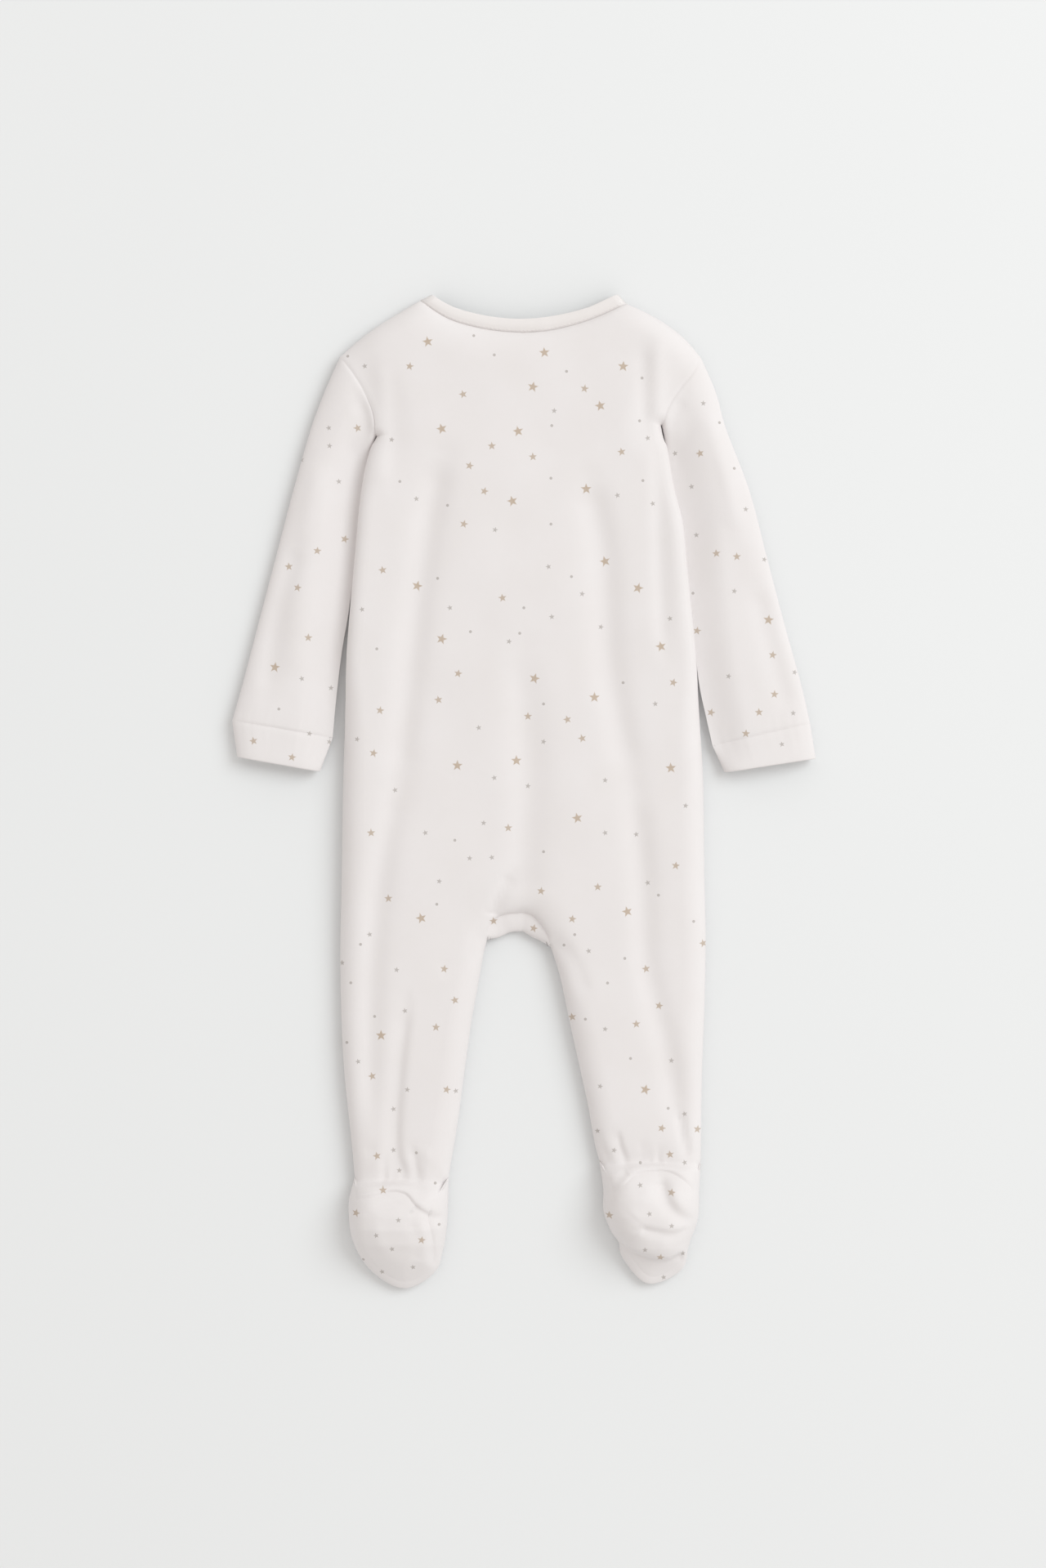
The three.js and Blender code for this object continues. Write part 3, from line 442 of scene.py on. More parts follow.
for name, side in sides.items():
    side["foot"] = footPoints(name)
    topY = side["side"][0, 1]
    rows = np.linspace(0, 1, divisions["body"] + 1)
    side["bodyOuter"] = crossings(side["side"], mix(topY, heights["hipY"], rows))
    archStops = np.linspace(0, 1, divisions["arch"] + 1)
    side["archOuter"] = crossings(side["side"], mix(heights["hipY"], heights["thighY"], archStops))
    legStops = np.linspace(0, 1, divisions["leg"] + 1)
    side["legOuter"] = crossings(side["side"], mix(heights["thighY"], side["ankleY"], legStops))
    side["legInner"] = along(side["inseam"], legStops)
    side["archPoints"] = withHeights(along(side["arch"], archStops), topHeight, ("as it is", "seam"))
    side["armholeTop"] = withHeights(along(side["armhole"], armStops), topHeight)
    side["armholeUnder"] = withHeights(along(side["armhole"], underStops), underHeight)
    neckStops = np.linspace(0, 1, across - divisions["shoulder"] + 1)
    side["neckPoints"] = withHeights(along(side["neck"], neckStops), topHeight, ("seam", "as it is"))
centreTop = (left["side"][0, 1] + right["side"][0, 1]) / 2
print("outlines ready")


def addPatch(bm, points):  # a grid whose points are moved onto the given ones
    rows, columns = points.shape[:2]
    made = bmesh.ops.create_grid(bm, x_segments=columns - 1, y_segments=rows - 1, size=0.5)
    for vert in made["verts"]:
        column = round((vert.co.x + 0.5) * (columns - 1))
        row = round((vert.co.y + 0.5) * (rows - 1))
        vert.co = Vector(points[row, column]) * mm


def facing(bm, up):
    for face in bm.faces:
        face.normal_update()
    if (sum(face.normal.z * face.calc_area() for face in bm.faces) > 0) != up:
        bmesh.ops.reverse_faces(bm, faces=bm.faces)


def thicken(bm, wall):  # the inside takes the second finish, and cut edges stay crisp
    outside = set(bm.faces)
    bmesh.ops.solidify(bm, geom=bm.faces[:], thickness=wall * mm)
    for face in bm.faces:
        face.material_index = 0 if face in outside else 1
    for edge in bm.edges:
        edge.smooth = len({face.material_index for face in edge.link_faces}) == 1


joinWithin = 0.004


def finishPiece(name, bm, details, materials, underside=False):
    bmesh.ops.remove_doubles(bm, verts=bm.verts, dist=joinWithin * mm)
    bmesh.ops.recalc_face_normals(bm, faces=bm.faces)
    if details["form"] != "tube":
        facing(bm, details["form"] == "upper")
    area = sum(face.calc_area() for face in bm.faces)
    if "wall" in details:
        thicken(bm, details["wall"])
    mesh = bpy.data.meshes.new(name)
    bm.to_mesh(mesh)
    bm.free()
    for face in mesh.polygons:
        face.use_smooth = True
    printStars(mesh, underside)
    piece = bpy.data.objects.new(name, mesh)
    bpy.context.scene.collection.objects.link(piece)
    for material in materials:
        mesh.materials.append(material)
    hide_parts(*details["replaces"])
    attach(piece, "root")
    print(name, len(mesh.polygons), "faces", round(area, 4), "square metres")


# Star print: places in the photo's pixels, which are half a millimetre each. One chart serves every
# piece, and the sides that can't be seen take it mirrored and moved.
starChart = {
    "large": [(524, 421), (666, 434), (652, 476), (541, 527), (634, 530), (762, 451), (734, 499),
              (717, 600), (627, 615), (511, 718), (740, 688), (780, 721), (541, 783), (654, 831),
              (808, 792), (727, 854), (560, 937), (632, 931), (820, 940), (706, 1001), (516, 1123),
              (767, 1115), (467, 1266), (789, 1332), (337, 817), (940, 759)],
    "medium": [(502, 451), (567, 485), (715, 478), (760, 555), (602, 548), (652, 561), (575, 572),
               (593, 603), (568, 643), (469, 699), (615, 733), (561, 825), (537, 857), (646, 877),
               (466, 870), (823, 836), (694, 881), (712, 904), (458, 922), (622, 1013),
               (455, 1019), (826, 1059), (731, 1085), (662, 1090), (476, 1099), (544, 1185),
               (790, 1185), (860, 1154), (557, 1223), (534, 1256), (806, 1230), (778, 1252),
               (456, 1316), (547, 1332), (462, 1413), (653, 1136), (604, 1127), (700, 1244),
               (809, 1379), (819, 1411), (853, 1381), (700, 1124), (470, 1453), (437, 1481),
               (517, 1513), (820, 1455), (745, 1484), (807, 1535), (438, 525), (422, 660),
               (389, 675), (354, 694), (365, 720), (378, 781), (311, 907), (358, 927), (856, 556),
               (876, 678), (901, 682), (853, 772), (945, 802), (947, 850), (870, 872), (928, 872),
               (912, 898)],
    "small": [(447, 450), (678, 505), (792, 538), (755, 608), (480, 540), (510, 612), (798, 618),
              (606, 650), (671, 695), (551, 745), (444, 747), (712, 728), (675, 756), (623, 786),
              (735, 768), (819, 758), (586, 891), (665, 908), (801, 862), (438, 905), (605, 952),
              (646, 962), (740, 955), (484, 967), (521, 1019), (592, 1007), (602, 1049),
              (575, 1050), (740, 1019), (838, 986), (778, 1021), (489, 1488), (462, 1507),
              (481, 1524), (468, 1555), (506, 1548), (782, 1446), (793, 1480), (820, 1495),
              (788, 1525), (835, 1532), (812, 1563), (403, 525), (404, 547), (369, 563),
              (415, 590), (370, 831), (405, 842), (379, 898), (403, 908), (860, 495), (826, 555),
              (846, 596), (912, 624), (852, 655), (935, 685), (898, 724), (891, 828), (972, 823),
              (970, 873), (956, 911), (486, 1186), (453, 1143), (419, 1178), (496, 1236),
              (439, 1298), (499, 1332), (558, 1334), (482, 1356), (482, 1406), (489, 1431),
              (720, 1163), (740, 1258), (821, 1297), (734, 1328), (837, 1362), (837, 1421),
              (731, 1383), (751, 1406), (792, 1080), (538, 1078)],
    "dot": [(426, 437), (580, 413), (605, 437), (693, 457), (675, 523), (785, 465), (782, 517),
            (490, 591), (548, 620), (674, 587), (786, 590), (674, 643), (641, 745), (342, 868),
            (880, 518), (898, 574), (848, 726), (576, 774), (462, 795), (636, 776), (699, 707),
            (536, 709), (762, 836), (665, 862), (557, 1028), (665, 1042), (703, 1143), (690, 1156),
            (442, 1155), (430, 1202), (459, 1243), (425, 1275), (764, 1172), (743, 1202),
            (716, 1246), (771, 1294), (817, 1355), (848, 1127), (510, 1409), (783, 1421),
            (533, 1446), (538, 1495), (445, 1540), (535, 1106), (805, 1095)],
}
starLook = {  # half size in mm, how dark, and whether it is round
    "large": (3.5, 1.0, 0), "medium": (2.75, 0.95, 0), "small": (1.9, 0.8, 0), "dot": (0.9, 0.8, 1),
}
photo = {"centreX": 641, "centreY": 969, "mmPerPixel": 0.5}
mostTilt = math.radians(16)


def starTable():
    rows = []
    for kind, places in starChart.items():
        half, dark, isRound = starLook[kind]
        for n, (px, py) in enumerate(places):
            tilt = mostTilt * math.sin(12.9 * n + px)
            rows.append(((px - photo["centreX"]) * photo["mmPerPixel"],
                         (photo["centreY"] - py) * photo["mmPerPixel"], half, tilt, dark, isRound))
    return np.array(rows)


topStars = starTable()
repeatY = 198.5  # the print's repeat down the cloth
underStars = np.vstack([topStars * (-1, 1, 1, 1, 1, 1) + (0, shift, 0, 0, 0, 0)
                        for shift in (-60, 3 * repeatY - 60)])


def printStars(mesh, underside):  # each face holds its nearest star's own coordinates
    stars = underStars if underside else topStars
    local = mesh.uv_layers.new(name="star")
    look = mesh.uv_layers.new(name="starLook")
    points = np.array([v.co for v in mesh.vertices]) / mm
    corners = np.array([loop.vertex_index for loop in mesh.loops])
    faces = np.repeat(np.arange(len(mesh.polygons)), [p.loop_total for p in mesh.polygons])
    centres = np.array([p.center for p in mesh.polygons]) / mm
    nearest = np.zeros(len(centres), int)
    for first in range(0, len(centres), 4000):
        block = centres[first:first + 4000]
        away = np.hypot(block[:, 0, None] - stars[:, 0], block[:, 1, None] - stars[:, 1])
        nearest[first:first + 4000] = (away - stars[:, 2]).argmin(1)
    own = stars[nearest[faces]]
    offset = points[corners][:, :2] - own[:, :2]
    turnX = offset[:, 0] * np.cos(own[:, 3]) + offset[:, 1] * np.sin(own[:, 3])
    turnY = offset[:, 1] * np.cos(own[:, 3]) - offset[:, 0] * np.sin(own[:, 3])
    places = np.stack([turnX, turnY], 1) / own[:, 2:3]
    local.data.foreach_set("uv", np.clip(places, -9, 9).astype(np.float32).ravel())
    look.data.foreach_set("uv", own[:, 4:6].astype(np.float32).ravel())


class Value:  # a number that varies over a surface; sums on it add Math nodes
    def __init__(self, finish, socket):
        self.finish = finish
        self.socket = socket

    def math(self, operation, *others):
        return self.finish.add("ShaderNodeMath", {"operation": operation}, (self, *others))

    def __add__(self, other):
        return self.math("ADD", other)

    def __sub__(self, other):
        return self.math("SUBTRACT", other)

    def __mul__(self, other):
        return self.math("MULTIPLY", other)

    def __rsub__(self, other):
        return self.finish.add("ShaderNodeMath", {"operation": "SUBTRACT"}, (other, self))

    __radd__ = __add__
    __rmul__ = __mul__


class Finish:
    def __init__(self, name, **constants):
        self.material = bpy.data.materials.new(name)
        self.material.use_nodes = True
        self.nodes = self.material.node_tree.nodes
        self.links = self.material.node_tree.links
        self.shader = self.nodes["Principled BSDF"]
        for socket, value in constants.items():
            self.shader.inputs[socket.replace("_", " ")].default_value = value

    def add(self, kind, settings=None, inputs=(), output=0):
        node = self.nodes.new(kind)
        for key, value in (settings or {}).items():
            if key == "stops":
                while len(node.color_ramp.elements) < len(value):
                    node.color_ramp.elements.new(0.5)
                for element, (place, colour) in zip(node.color_ramp.elements, value):
                    element.position, element.color = place, (*colour, 1)
            else:
                setattr(node, key, value)
        named = inputs.items() if isinstance(inputs, dict) else enumerate(inputs)
        for key, value in named:
            self.give(node.inputs[key], value)
        return Value(self, node.outputs[output])

    def give(self, socket, value):
        if isinstance(value, Value):
            self.links.new(value.socket, socket)
        else:
            socket.default_value = value

    def part(self, vector, axis):
        return self.add("ShaderNodeSeparateXYZ", None, (vector,), output=axis)

    def blend(self, share, first, second):
        node = self.nodes.new("ShaderNodeMix")
        node.data_type = "RGBA"
        for socket, value in ((node.inputs[0], share), (node.inputs[6], first), (node.inputs[7], second)):
            self.give(socket, (*value, 1) if isinstance(value, tuple) else value)
        return Value(self, node.outputs[2])

    def bump(self, height, strength, distance):
        normal = self.add("ShaderNodeBump", None,
                          {"Height": height, "Strength": strength, "Distance": distance})
        self.give(self.shader.inputs["Normal"], normal)


jerseyLook = {
    "cloth": (0.800, 0.769, 0.766), "shade": (0.782, 0.747, 0.738),
    "ink": (0.52, 0.42, 0.33), "smallInk": (0.42, 0.385, 0.36),
    "wale": 0.62, "course": 0.5, "bump": 0.45, "roughness": 0.93,
    "innerPoint": 0.43,  # how far in a star's inner corners are
}
bindingLook = {
    "cloth": (0.806, 0.773, 0.762), "shade": (0.79, 0.753, 0.735), "rib": 1.1, "course": 0.55,
    "roughness": 0.87, "bump": 0.35, "depth": 0.00018,
}
placketStitches = {"fromMiddle": 0.006, "half": 0.00022, "pitch": 0.0025, "share": 0.72}


def knit(finish, look, wale, course):  # rows of small loops, and a faint unevenness of the yarn
    place = finish.add("ShaderNodeTexCoord", None, (), output=3)
    x, y = finish.part(place, 0), finish.part(place, 1)
    columns = (x * (2 * math.pi / (wale * mm))).math("SINE")
    lean = columns * 0.9
    rows = (y * (2 * math.pi / (course * mm)) + lean).math("SINE")
    yarn = finish.add("ShaderNodeTexNoise", None,
                      {"Vector": place, "Scale": 900.0, "Detail": 2.0, "Roughness": 0.6})
    patches = finish.add("ShaderNodeTexNoise", None,
                         {"Vector": place, "Scale": 38.0, "Detail": 3.0, "Roughness": 0.5})
    loops = columns.math("ABSOLUTE") * 0.6 + rows * 0.25 + yarn * 0.5
    colour = finish.blend((patches - 0.35) * 1.6, look["cloth"], look["shade"])
    return loops, colour, yarn


def jersey(name, printed):
    look = jerseyLook
    finish = Finish(name, Sheen_Weight=0.18, Sheen_Roughness=0.45, Specular_IOR_Level=0.2)
    loops, colour, yarn = knit(finish, look, look["wale"], look["course"])
    if printed:
        star = finish.add("ShaderNodeUVMap", {"uv_map": "star"})
        kind = finish.add("ShaderNodeUVMap", {"uv_map": "starLook"})
        x, y = finish.part(star, 0), finish.part(star, 1)
        far = finish.add("ShaderNodeVectorMath", {"operation": "LENGTH"}, (star,), output=1)
        turn = x.math("ARCTAN2", y).math("PINGPONG", math.pi / 5)
        cornerX = look["innerPoint"] * math.cos(math.pi / 5)
        cornerY = look["innerPoint"] * math.sin(math.pi / 5)
        size = math.hypot(cornerY, 1 - cornerX)
        outline = (far * turn.math("COSINE") * cornerY + far * turn.math("SINE") * (1 - cornerX)
                   - cornerY) * (1 / size)
        disc = far - 1
        isRound = finish.part(kind, 1)
        edge = outline * (1 - isRound) + disc * isRound + (yarn - 0.5) * 0.12
        inked = finish.add("ShaderNodeMapRange", {"interpolation_type": "SMOOTHSTEP"},
                           (edge, -0.09, 0.05, 1.0, 0.0))
        dark = finish.part(kind, 0)
        ink = finish.blend((dark - 0.8) * 6, look["smallInk"], look["ink"])
        colour = finish.blend(inked * dark * (0.74 + yarn * 0.36), colour, ink)
    finish.give(finish.shader.inputs["Base Color"], colour)
    finish.give(finish.shader.inputs["Roughness"], yarn * 0.1 + (look["roughness"] - 0.05))
    finish.bump(loops, look["bump"], 0.00012)
    return finish.material


def ribbedCloth(name, stitched):
    look = bindingLook
    finish = Finish(name, Sheen_Weight=0.18, Sheen_Roughness=0.45, Specular_IOR_Level=0.2)
    loops, colour, yarn = knit(finish, look, look["rib"], look["course"])
    if stitched:
        place = finish.add("ShaderNodeTexCoord", None, (), output=3)
        row = finish.part(place, 0).math("ABSOLUTE") - placketStitches["fromMiddle"]
        inRow = row.math("ABSOLUTE").math("LESS_THAN", placketStitches["half"])
        step = (finish.part(place, 1) * (1 / placketStitches["pitch"])).math("FRACT")
        thread = inRow * step.math("LESS_THAN", placketStitches["share"])
        colour = finish.blend(thread * 0.5, colour, look["shade"])
        loops = loops + thread * 2
    finish.give(finish.shader.inputs["Base Color"], colour)
    finish.give(finish.shader.inputs["Roughness"], yarn * 0.1 + look["roughness"])
    finish.bump(loops, look["bump"], look["depth"])
    return finish.material


printedJersey = jersey("printed jersey", True)
plainJersey = jersey("inside of the jersey", False)
bindingMaterial = ribbedCloth("binding cloth", False)
jerseyPair = [printedJersey, plainJersey]
print("cloth finishes ready")

# Back: both halves from the shoulders to the heels, in one piece
backDetails = {
    "form": "upper", "wall": 1.1, "replaces": ["back"], "slot": "jersey",
    "flat": (0.27, 0.60), "area": 0.110, "restsOn": ["front_left", "front_right"],
}
gather = {"high": 0.16, "spread": 7, "tuck": 1.2, "tuckSpread": 6}
overhang = {"far": 2.4, "column": 2.5, "spread": 1.7}


def backRows(side):
    centre = np.zeros((divisions["body"] + 1, 3))
    centre[:, 0] = heights["centreX"]
    centre[:, 1] = np.linspace(centreTop, side["arch"][0, 1], divisions["body"] + 1)
    rows = [rowBetween(o, i, heights["side"], across, rolled, 0)
            for o, i in zip(side["bodyOuter"], centre)]
    for n in range(1, divisions["arch"] + 1):
        atLeg = smooth(n / divisions["arch"])
        inner = side["archPoints"][n] * (1, 1, 0)
        rows.append(rowBetween(side["archOuter"][n], inner, heights["side"], across, rolled, atLeg))
    for o, i in zip(side["legOuter"][1:], side["legInner"][1:]):
        rows.append(rowBetween(o, i * (1, 1, 0), heights["side"], across, rolled, 1))
    rows = np.array(rows)
    rows[:, :, 2] = topHeight(rows[:, :, 0], rows[:, :, 1])
    fromAnkle = rows[:, :1, 1] - side["ankleY"]
    inside = np.minimum(np.arange(across + 1), across - np.arange(across + 1))
    clear = np.clip(inside / 12, 0, 1)[None]
    beat = np.sin(rows[:, :, 0] * 0.9 + 1.6 * np.sin(rows[:, :, 0] * 0.23))
    rows[:, :, 2] += clear * gather["high"] * beat * np.exp(-(fromAnkle / gather["spread"]) ** 2)
    rows[:, :, 2] -= clear * gather["tuck"] * np.exp(-(fromAnkle / gather["tuckSpread"]) ** 2)
    column = np.arange(1, rolled)
    bulge = overhang["far"] * np.exp(-(((column - overhang["column"]) / overhang["spread"]) ** 2))
    rows[:, 1:rolled, 0] += side["sign"] * bulge * nearSleeve(rows[:, 1:rolled, 1])
    rows[:, 0, 2] = heights["seam"]
    arch = divisions["body"] + np.arange(divisions["arch"] + 1)
    rows[arch, -1] = side["archPoints"]
    rows[arch[-1]:, -1, 2] = heights["seam"]
    return rows


heelRidge = {"near": 1.6, "far": 7, "blend": 2.2}


def heelPatch(side, ankle):  # the heel's cloth puffs up over the sole's seam
    foot = side["foot"]
    stops = np.linspace(0, 1, stationSteps[0] + 1)
    heel = between(ankle, foot["heelEdge"], foot["heelLeft"], foot["heelRight"], stops)
    inside = heel[1:-1, 1:-1]
    x, y = inside[:, :, 0], inside[:, :, 1]
    u, v = np.linspace(0, 1, across + 1)[None, 1:-1], stops[1:-1, None]
    fromSeam = distanceTo([foot["seams"][1]], x, y)
    ridge = foot["puff"] * (1 - np.exp(-(fromSeam / heelRidge["near"]) ** 2))
    ridge = ridge * np.exp(-(fromSeam / heelRidge["far"]) ** 2)
    level = footHeight(foot, x, y) + ridge * np.sin(np.pi * u) ** 0.5
    inside[:, :, 2] = mix(ankle[None, 1:-1, 2], level, smooth(v * heelRidge["blend"]))
    return heel


def backPatches(side):
    rows = backRows(side)
    stops = columnStops(seamRows["shoulder"], heights["side"], divisions["shoulder"], rolled, False)
    shoulder = along(side["shoulder"], stops)
    shoulder[:, 2] = heights["seam"]
    top = np.vstack([shoulder, side["neckPoints"][1:]])
    centre = np.zeros((len(armStops), 3))
    centre[:, 0] = heights["centreX"]
    centre[:, 1] = mix(side["neck"][-1, 1], centreTop, armStops)
    centre[:, 2] = topHeight(centre[:, 0], centre[:, 1])
    centre[0] = side["neckPoints"][-1]
    yoke = between(top, rows[0], side["armholeTop"], centre, armStops)
    inside = yoke[1:-1, 1:-1]
    inside[:, :, 2] = topHeight(inside[:, :, 0], inside[:, :, 1])
    heel = heelPatch(side, leftToRight(side, rows[-1]))
    return [yoke, rows, heel]


bm = bmesh.new()
for side in sides.values():
    for patch in backPatches(side):
        addPatch(bm, patch)
finishPiece("back_cloth", bm, backDetails, jerseyPair)

# Fronts: flat on the floor, turned up at their edges to the seams
frontDetails = {
    "form": "under", "wall": 1.1, "slot": "jersey", "flat": (0.13, 0.57), "area": 0.048,
    "restsOn": ["floor"],
}
frontAcross, frontRolled = 30, 6


def frontPatches(side):
    edgeX = side["frontNeck"][-1, 0]
    crotch = side["frontCrotch"][0]
    u = np.linspace(0, 1, divisions["body"] // 3 + 1)
    outer = crossings(side["side"], mix(side["side"][0, 1], heights["hipY"], u))
    inner = mix(np.array([edgeX, centreTop, 0]), crotch, u[:, None])
    rolls = (heights["under"], frontAcross, frontRolled)
    rows = [rowBetween(o, i, *rolls, 0) for o, i in zip(outer, inner)]
    innerRise = [0.0] * len(rows)
    rises = along(curveThrough([(0, 0), (0.4, 0), (0.7, 2.2), (1, heights["seam"])]),
                  np.linspace(0, 1, divisions["arch"] + 1))[:, 1]
    crotchPoints = along(side["frontCrotch"], np.linspace(0, 1, divisions["arch"] + 1))
    crotchPoints[:, 2] = rises
    side["frontCrotchPoints"] = crotchPoints
    for n in range(1, divisions["arch"] + 1):
        flatPoint = crotchPoints[n] * (1, 1, 0)
        rows.append(rowBetween(side["archOuter"][n], flatPoint, *rolls, smooth(n / divisions["arch"])))
        innerRise.append(rises[n])
    for o, i in zip(side["legOuter"][1:], side["legInner"][1:]):
        rows.append(rowBetween(o, i * (1, 1, 0), *rolls, 1))
        innerRise.append(heights["seam"])
    rows = np.array(rows)
    turn = 1 - quarter(1 - np.cos(np.linspace(0, np.pi / 2, frontRolled + 1)))
    rows[:, :frontRolled + 1, 2] = heights["seam"] * turn
    rows[:, -frontRolled - 1:, 2] += np.array(innerRise)[:, None] * turn[::-1]
    half = frontAcross // 2
    shoulder = along(side["shoulder"], np.linspace(0, 1, half + 1))
    shoulder[:, 2] = heights["seam"]
    neck = withHeights(along(side["frontNeck"], np.linspace(0, 1, frontAcross - half + 1)),
                       underHeight, ("seam", "as it is"))
    neck[-1, 2] = 0
    side["frontNeckPoints"] = neck
    middle = np.zeros((len(underStops), 3))
    middle[:, 0] = edgeX
    middle[:, 1] = mix(neck[-1, 1], centreTop, underStops)
    yoke = between(np.vstack([shoulder, neck[1:]]), rows[0], side["armholeUnder"], middle, underStops)
    inside = yoke[1:-1, 1:-1]
    inside[:, :, 2] = underHeight(inside[:, :, 0], inside[:, :, 1])
    return [yoke, rows]


for name, side in sides.items():
    bm = bmesh.new()
    for patch in frontPatches(side):
        addPatch(bm, patch)
    finishPiece(f"front_{name}_cloth", bm, {**frontDetails, "replaces": [f"front_{name}"]},
                jerseyPair, underside=True)

# Sleeves: flattened tubes from the armhole to the cuff
sleeveDetails = {
    "form": "tube", "wall": 1.1, "slot": "jersey", "flat": (0.15, 0.25), "area": 0.0226,
    "restsOn": ["floor"],
}
cuffDetails = {"form": "tube", "slot": "jersey", "flat": (0.13, 0.022), "area": 0.0027,
               "restsOn": ["floor"], "thick": 1.7}


def sleeveRing(side, outer, inner, atArmhole, drawnIn):
    def bend(stops, armhole):
        row = mix(outer, inner, stops[:, None])
        chord = mix(armhole[0], armhole[-1], stops[:, None])
        return row + (armhole - chord) * (1, 1, 0) * atArmhole

    top, under = bend(armStops, side["armholeTop"]), bend(underStops, side["armholeUnder"])
    top[:, 2], under[:, 2] = drawnIn * np.sin(armStops * 60) * np.sin(np.pi * armStops), 0
    return top, under


def sleeveRings(side):
    stops = columnStops(seamRows["sleeve"], seamRows["near"], divisions["sleeve"],
                        seamRows["count"], True)
    outer, inner = along(side["sleeveOuter"], stops), along(side["sleeveInner"], stops)
    tops, unders = [], []
    for n, t in enumerate(stops):
        nearCuff = math.exp(-(((1 - t) * seamRows["sleeve"] / 10) ** 2))
        top, under = sleeveRing(side, outer[n], inner[n], 1 - smooth(t * 3.5), 0.35 * nearCuff)
        tops.append(top)
        unders.append(under)
    tops, unders = np.array(tops), np.array(unders)
    tops[:, :, 2] += topHeight(tops[:, :, 0], tops[:, :, 1], True)
    unders[:, :, 2] = underHeight(unders[:, :, 0], unders[:, :, 1])
    cuffSeam = groove((1 - stops) * seamRows["sleeve"], **cuffGroove)[:, None]
    tops[:, :, 2] -= cuffSeam * np.sin(np.pi * armStops) ** 0.5
    for rows in (tops, unders):
        rows[:, 0, 2] = rows[:, -1, 2] = heights["seam"]
    tops[0], unders[0] = side["armholeTop"], side["armholeUnder"]
    tops[0, -1, :2] = unders[0, -1, :2] = inner[0, :2]
    return np.concatenate([tops, unders[:, ::-1][:, 1:]], axis=1)


def outwardNormals(outer):
    downward = np.gradient(outer, axis=0)
    around = np.gradient(outer, axis=1)
    around[:, [0, -1]] = (outer[:, [1, 1]] - outer[:, [-2, -2]]) / 2
    normal = np.cross(downward, around)
    normal /= np.linalg.norm(normal, axis=2, keepdims=True)
    centre = outer.mean(axis=(0, 1))
    return normal if ((outer - centre) * normal).sum() > 0 else -normal


def bandFrom(outer, thick, outward):  # doubled cloth: out to the folded edge, round it and back
    normal = outwardNormals(outer)
    inner = outer - normal * thick
    middle, half = (outer[-1] + inner[-1]) / 2, normal[-1] * thick / 2
    turns = np.linspace(0, np.pi, 7)[1:-1]
    fold = [middle + half * math.cos(a) + outward * thick / 2 * math.sin(a) for a in turns]
    return np.concatenate([outer, np.array(fold), inner[::-1], outer[:1]])


for name, side in sides.items():
    rings = sleeveRings(side)
    bm = bmesh.new()
    addPatch(bm, rings)
    finishPiece(f"sleeve_{name}_cloth", bm, {**sleeveDetails, "replaces": [f"sleeve_{name}"]},
                jerseyPair)
    top, under = sleeveRing(side, *side["cuffEnd"], 0, 0)
    top[:, 2] = topHeight(top[:, 0], top[:, 1], True)
    under[:, 2] = underHeight(under[:, 0], under[:, 1])
    top[[0, -1], 2] = under[[0, -1], 2] = heights["seam"]
    end = np.concatenate([top, under[::-1][1:]])
    start = rings[-1]
    outward = (end - start).mean(0)
    outward /= np.linalg.norm(outward)
    cuffStops = 1 - np.cos(np.linspace(0, np.pi / 2, divisions["cuff"] + 1))
    outer = np.array([mix(start, end, t) for t in cuffStops])
    plump = smooth(cuffStops * 9)[:, None] * np.sin(np.pi * armStops) ** 0.5
    outer[:, :len(armStops), 2] += 0.5 * plump
    bm = bmesh.new()
    addPatch(bm, bandFrom(outer, cuffDetails["thick"], outward))
    finishPiece(f"cuff_{name}_cloth", bm, {**cuffDetails, "replaces": [f"cuff_{name}"]},
                [printedJersey])
print("sleeves and cuffs ready")

# Neck binding: a plain doubled band, its back half over its front half
bindingDetails = {
    "form": "tube", "slot": "binding", "flat": (0.30, 0.01), "area": 0.0028,
    "restsOn": ["back_cloth"], "thick": 1.6, "replaces": ["neck_binding"],
}
bindingEdge = [(-57, 304), (-50.5, 299.5), (-40.5, 294.7), (-20.5, 290), (-0.5, 288.5),
               (19.5, 290.5), (39.5, 295.5), (49.5, 300), (58, 304)]
bindingFrontEdge = [(58, 304), (49, 288), (38, 277.5), (22, 269.5), (0, 266.5), (-22, 269.5),
                    (-38, 277.5), (-49, 288), (-57, 304)]


def bindingRows():
    backSeam = np.vstack([left["neckPoints"], right["neckPoints"][::-1][1:]])
    frontStops = np.linspace(0, 1, 24)
    frontSeam = np.vstack([along(right["frontNeck"], frontStops),
                           along(left["frontNeck"], frontStops)[::-1]])
    frontSeam = withHeights(frontSeam, underHeight)
    backEdge = along(curveThrough(bindingEdge), np.linspace(0, 1, len(backSeam)))
    frontEdge = along(curveThrough(bindingFrontEdge), np.linspace(0, 1, len(frontSeam)))
    backEdge[:, 2] = backSeam[:, 2] + 0.6
    backEdge[[0, -1], 2] = heights["seam"]
    frontEdge[:, 2] = frontSeam[:, 2]
    seam = np.vstack([backSeam, frontSeam[1:-1], backSeam[:1]])
    edge = np.vstack([backEdge, frontEdge[1:-1], backEdge[:1]])
    rows = np.array([mix(seam, edge, t) for t in np.linspace(0, 1, 7)])
    puff = np.sin(np.pi * np.linspace(0, 1, 7))[:, None] * 0.7
    onBack = np.zeros(len(seam))
    onBack[1:len(backSeam) - 1] = 1
    rows[:, :, 2] += puff * onBack
    rows[1, :, 2] += 0.25 * (1 - 2 * onBack)
    return rows


stitch = {"pitch": 2.5, "half": 0.95, "thick": 0.2}


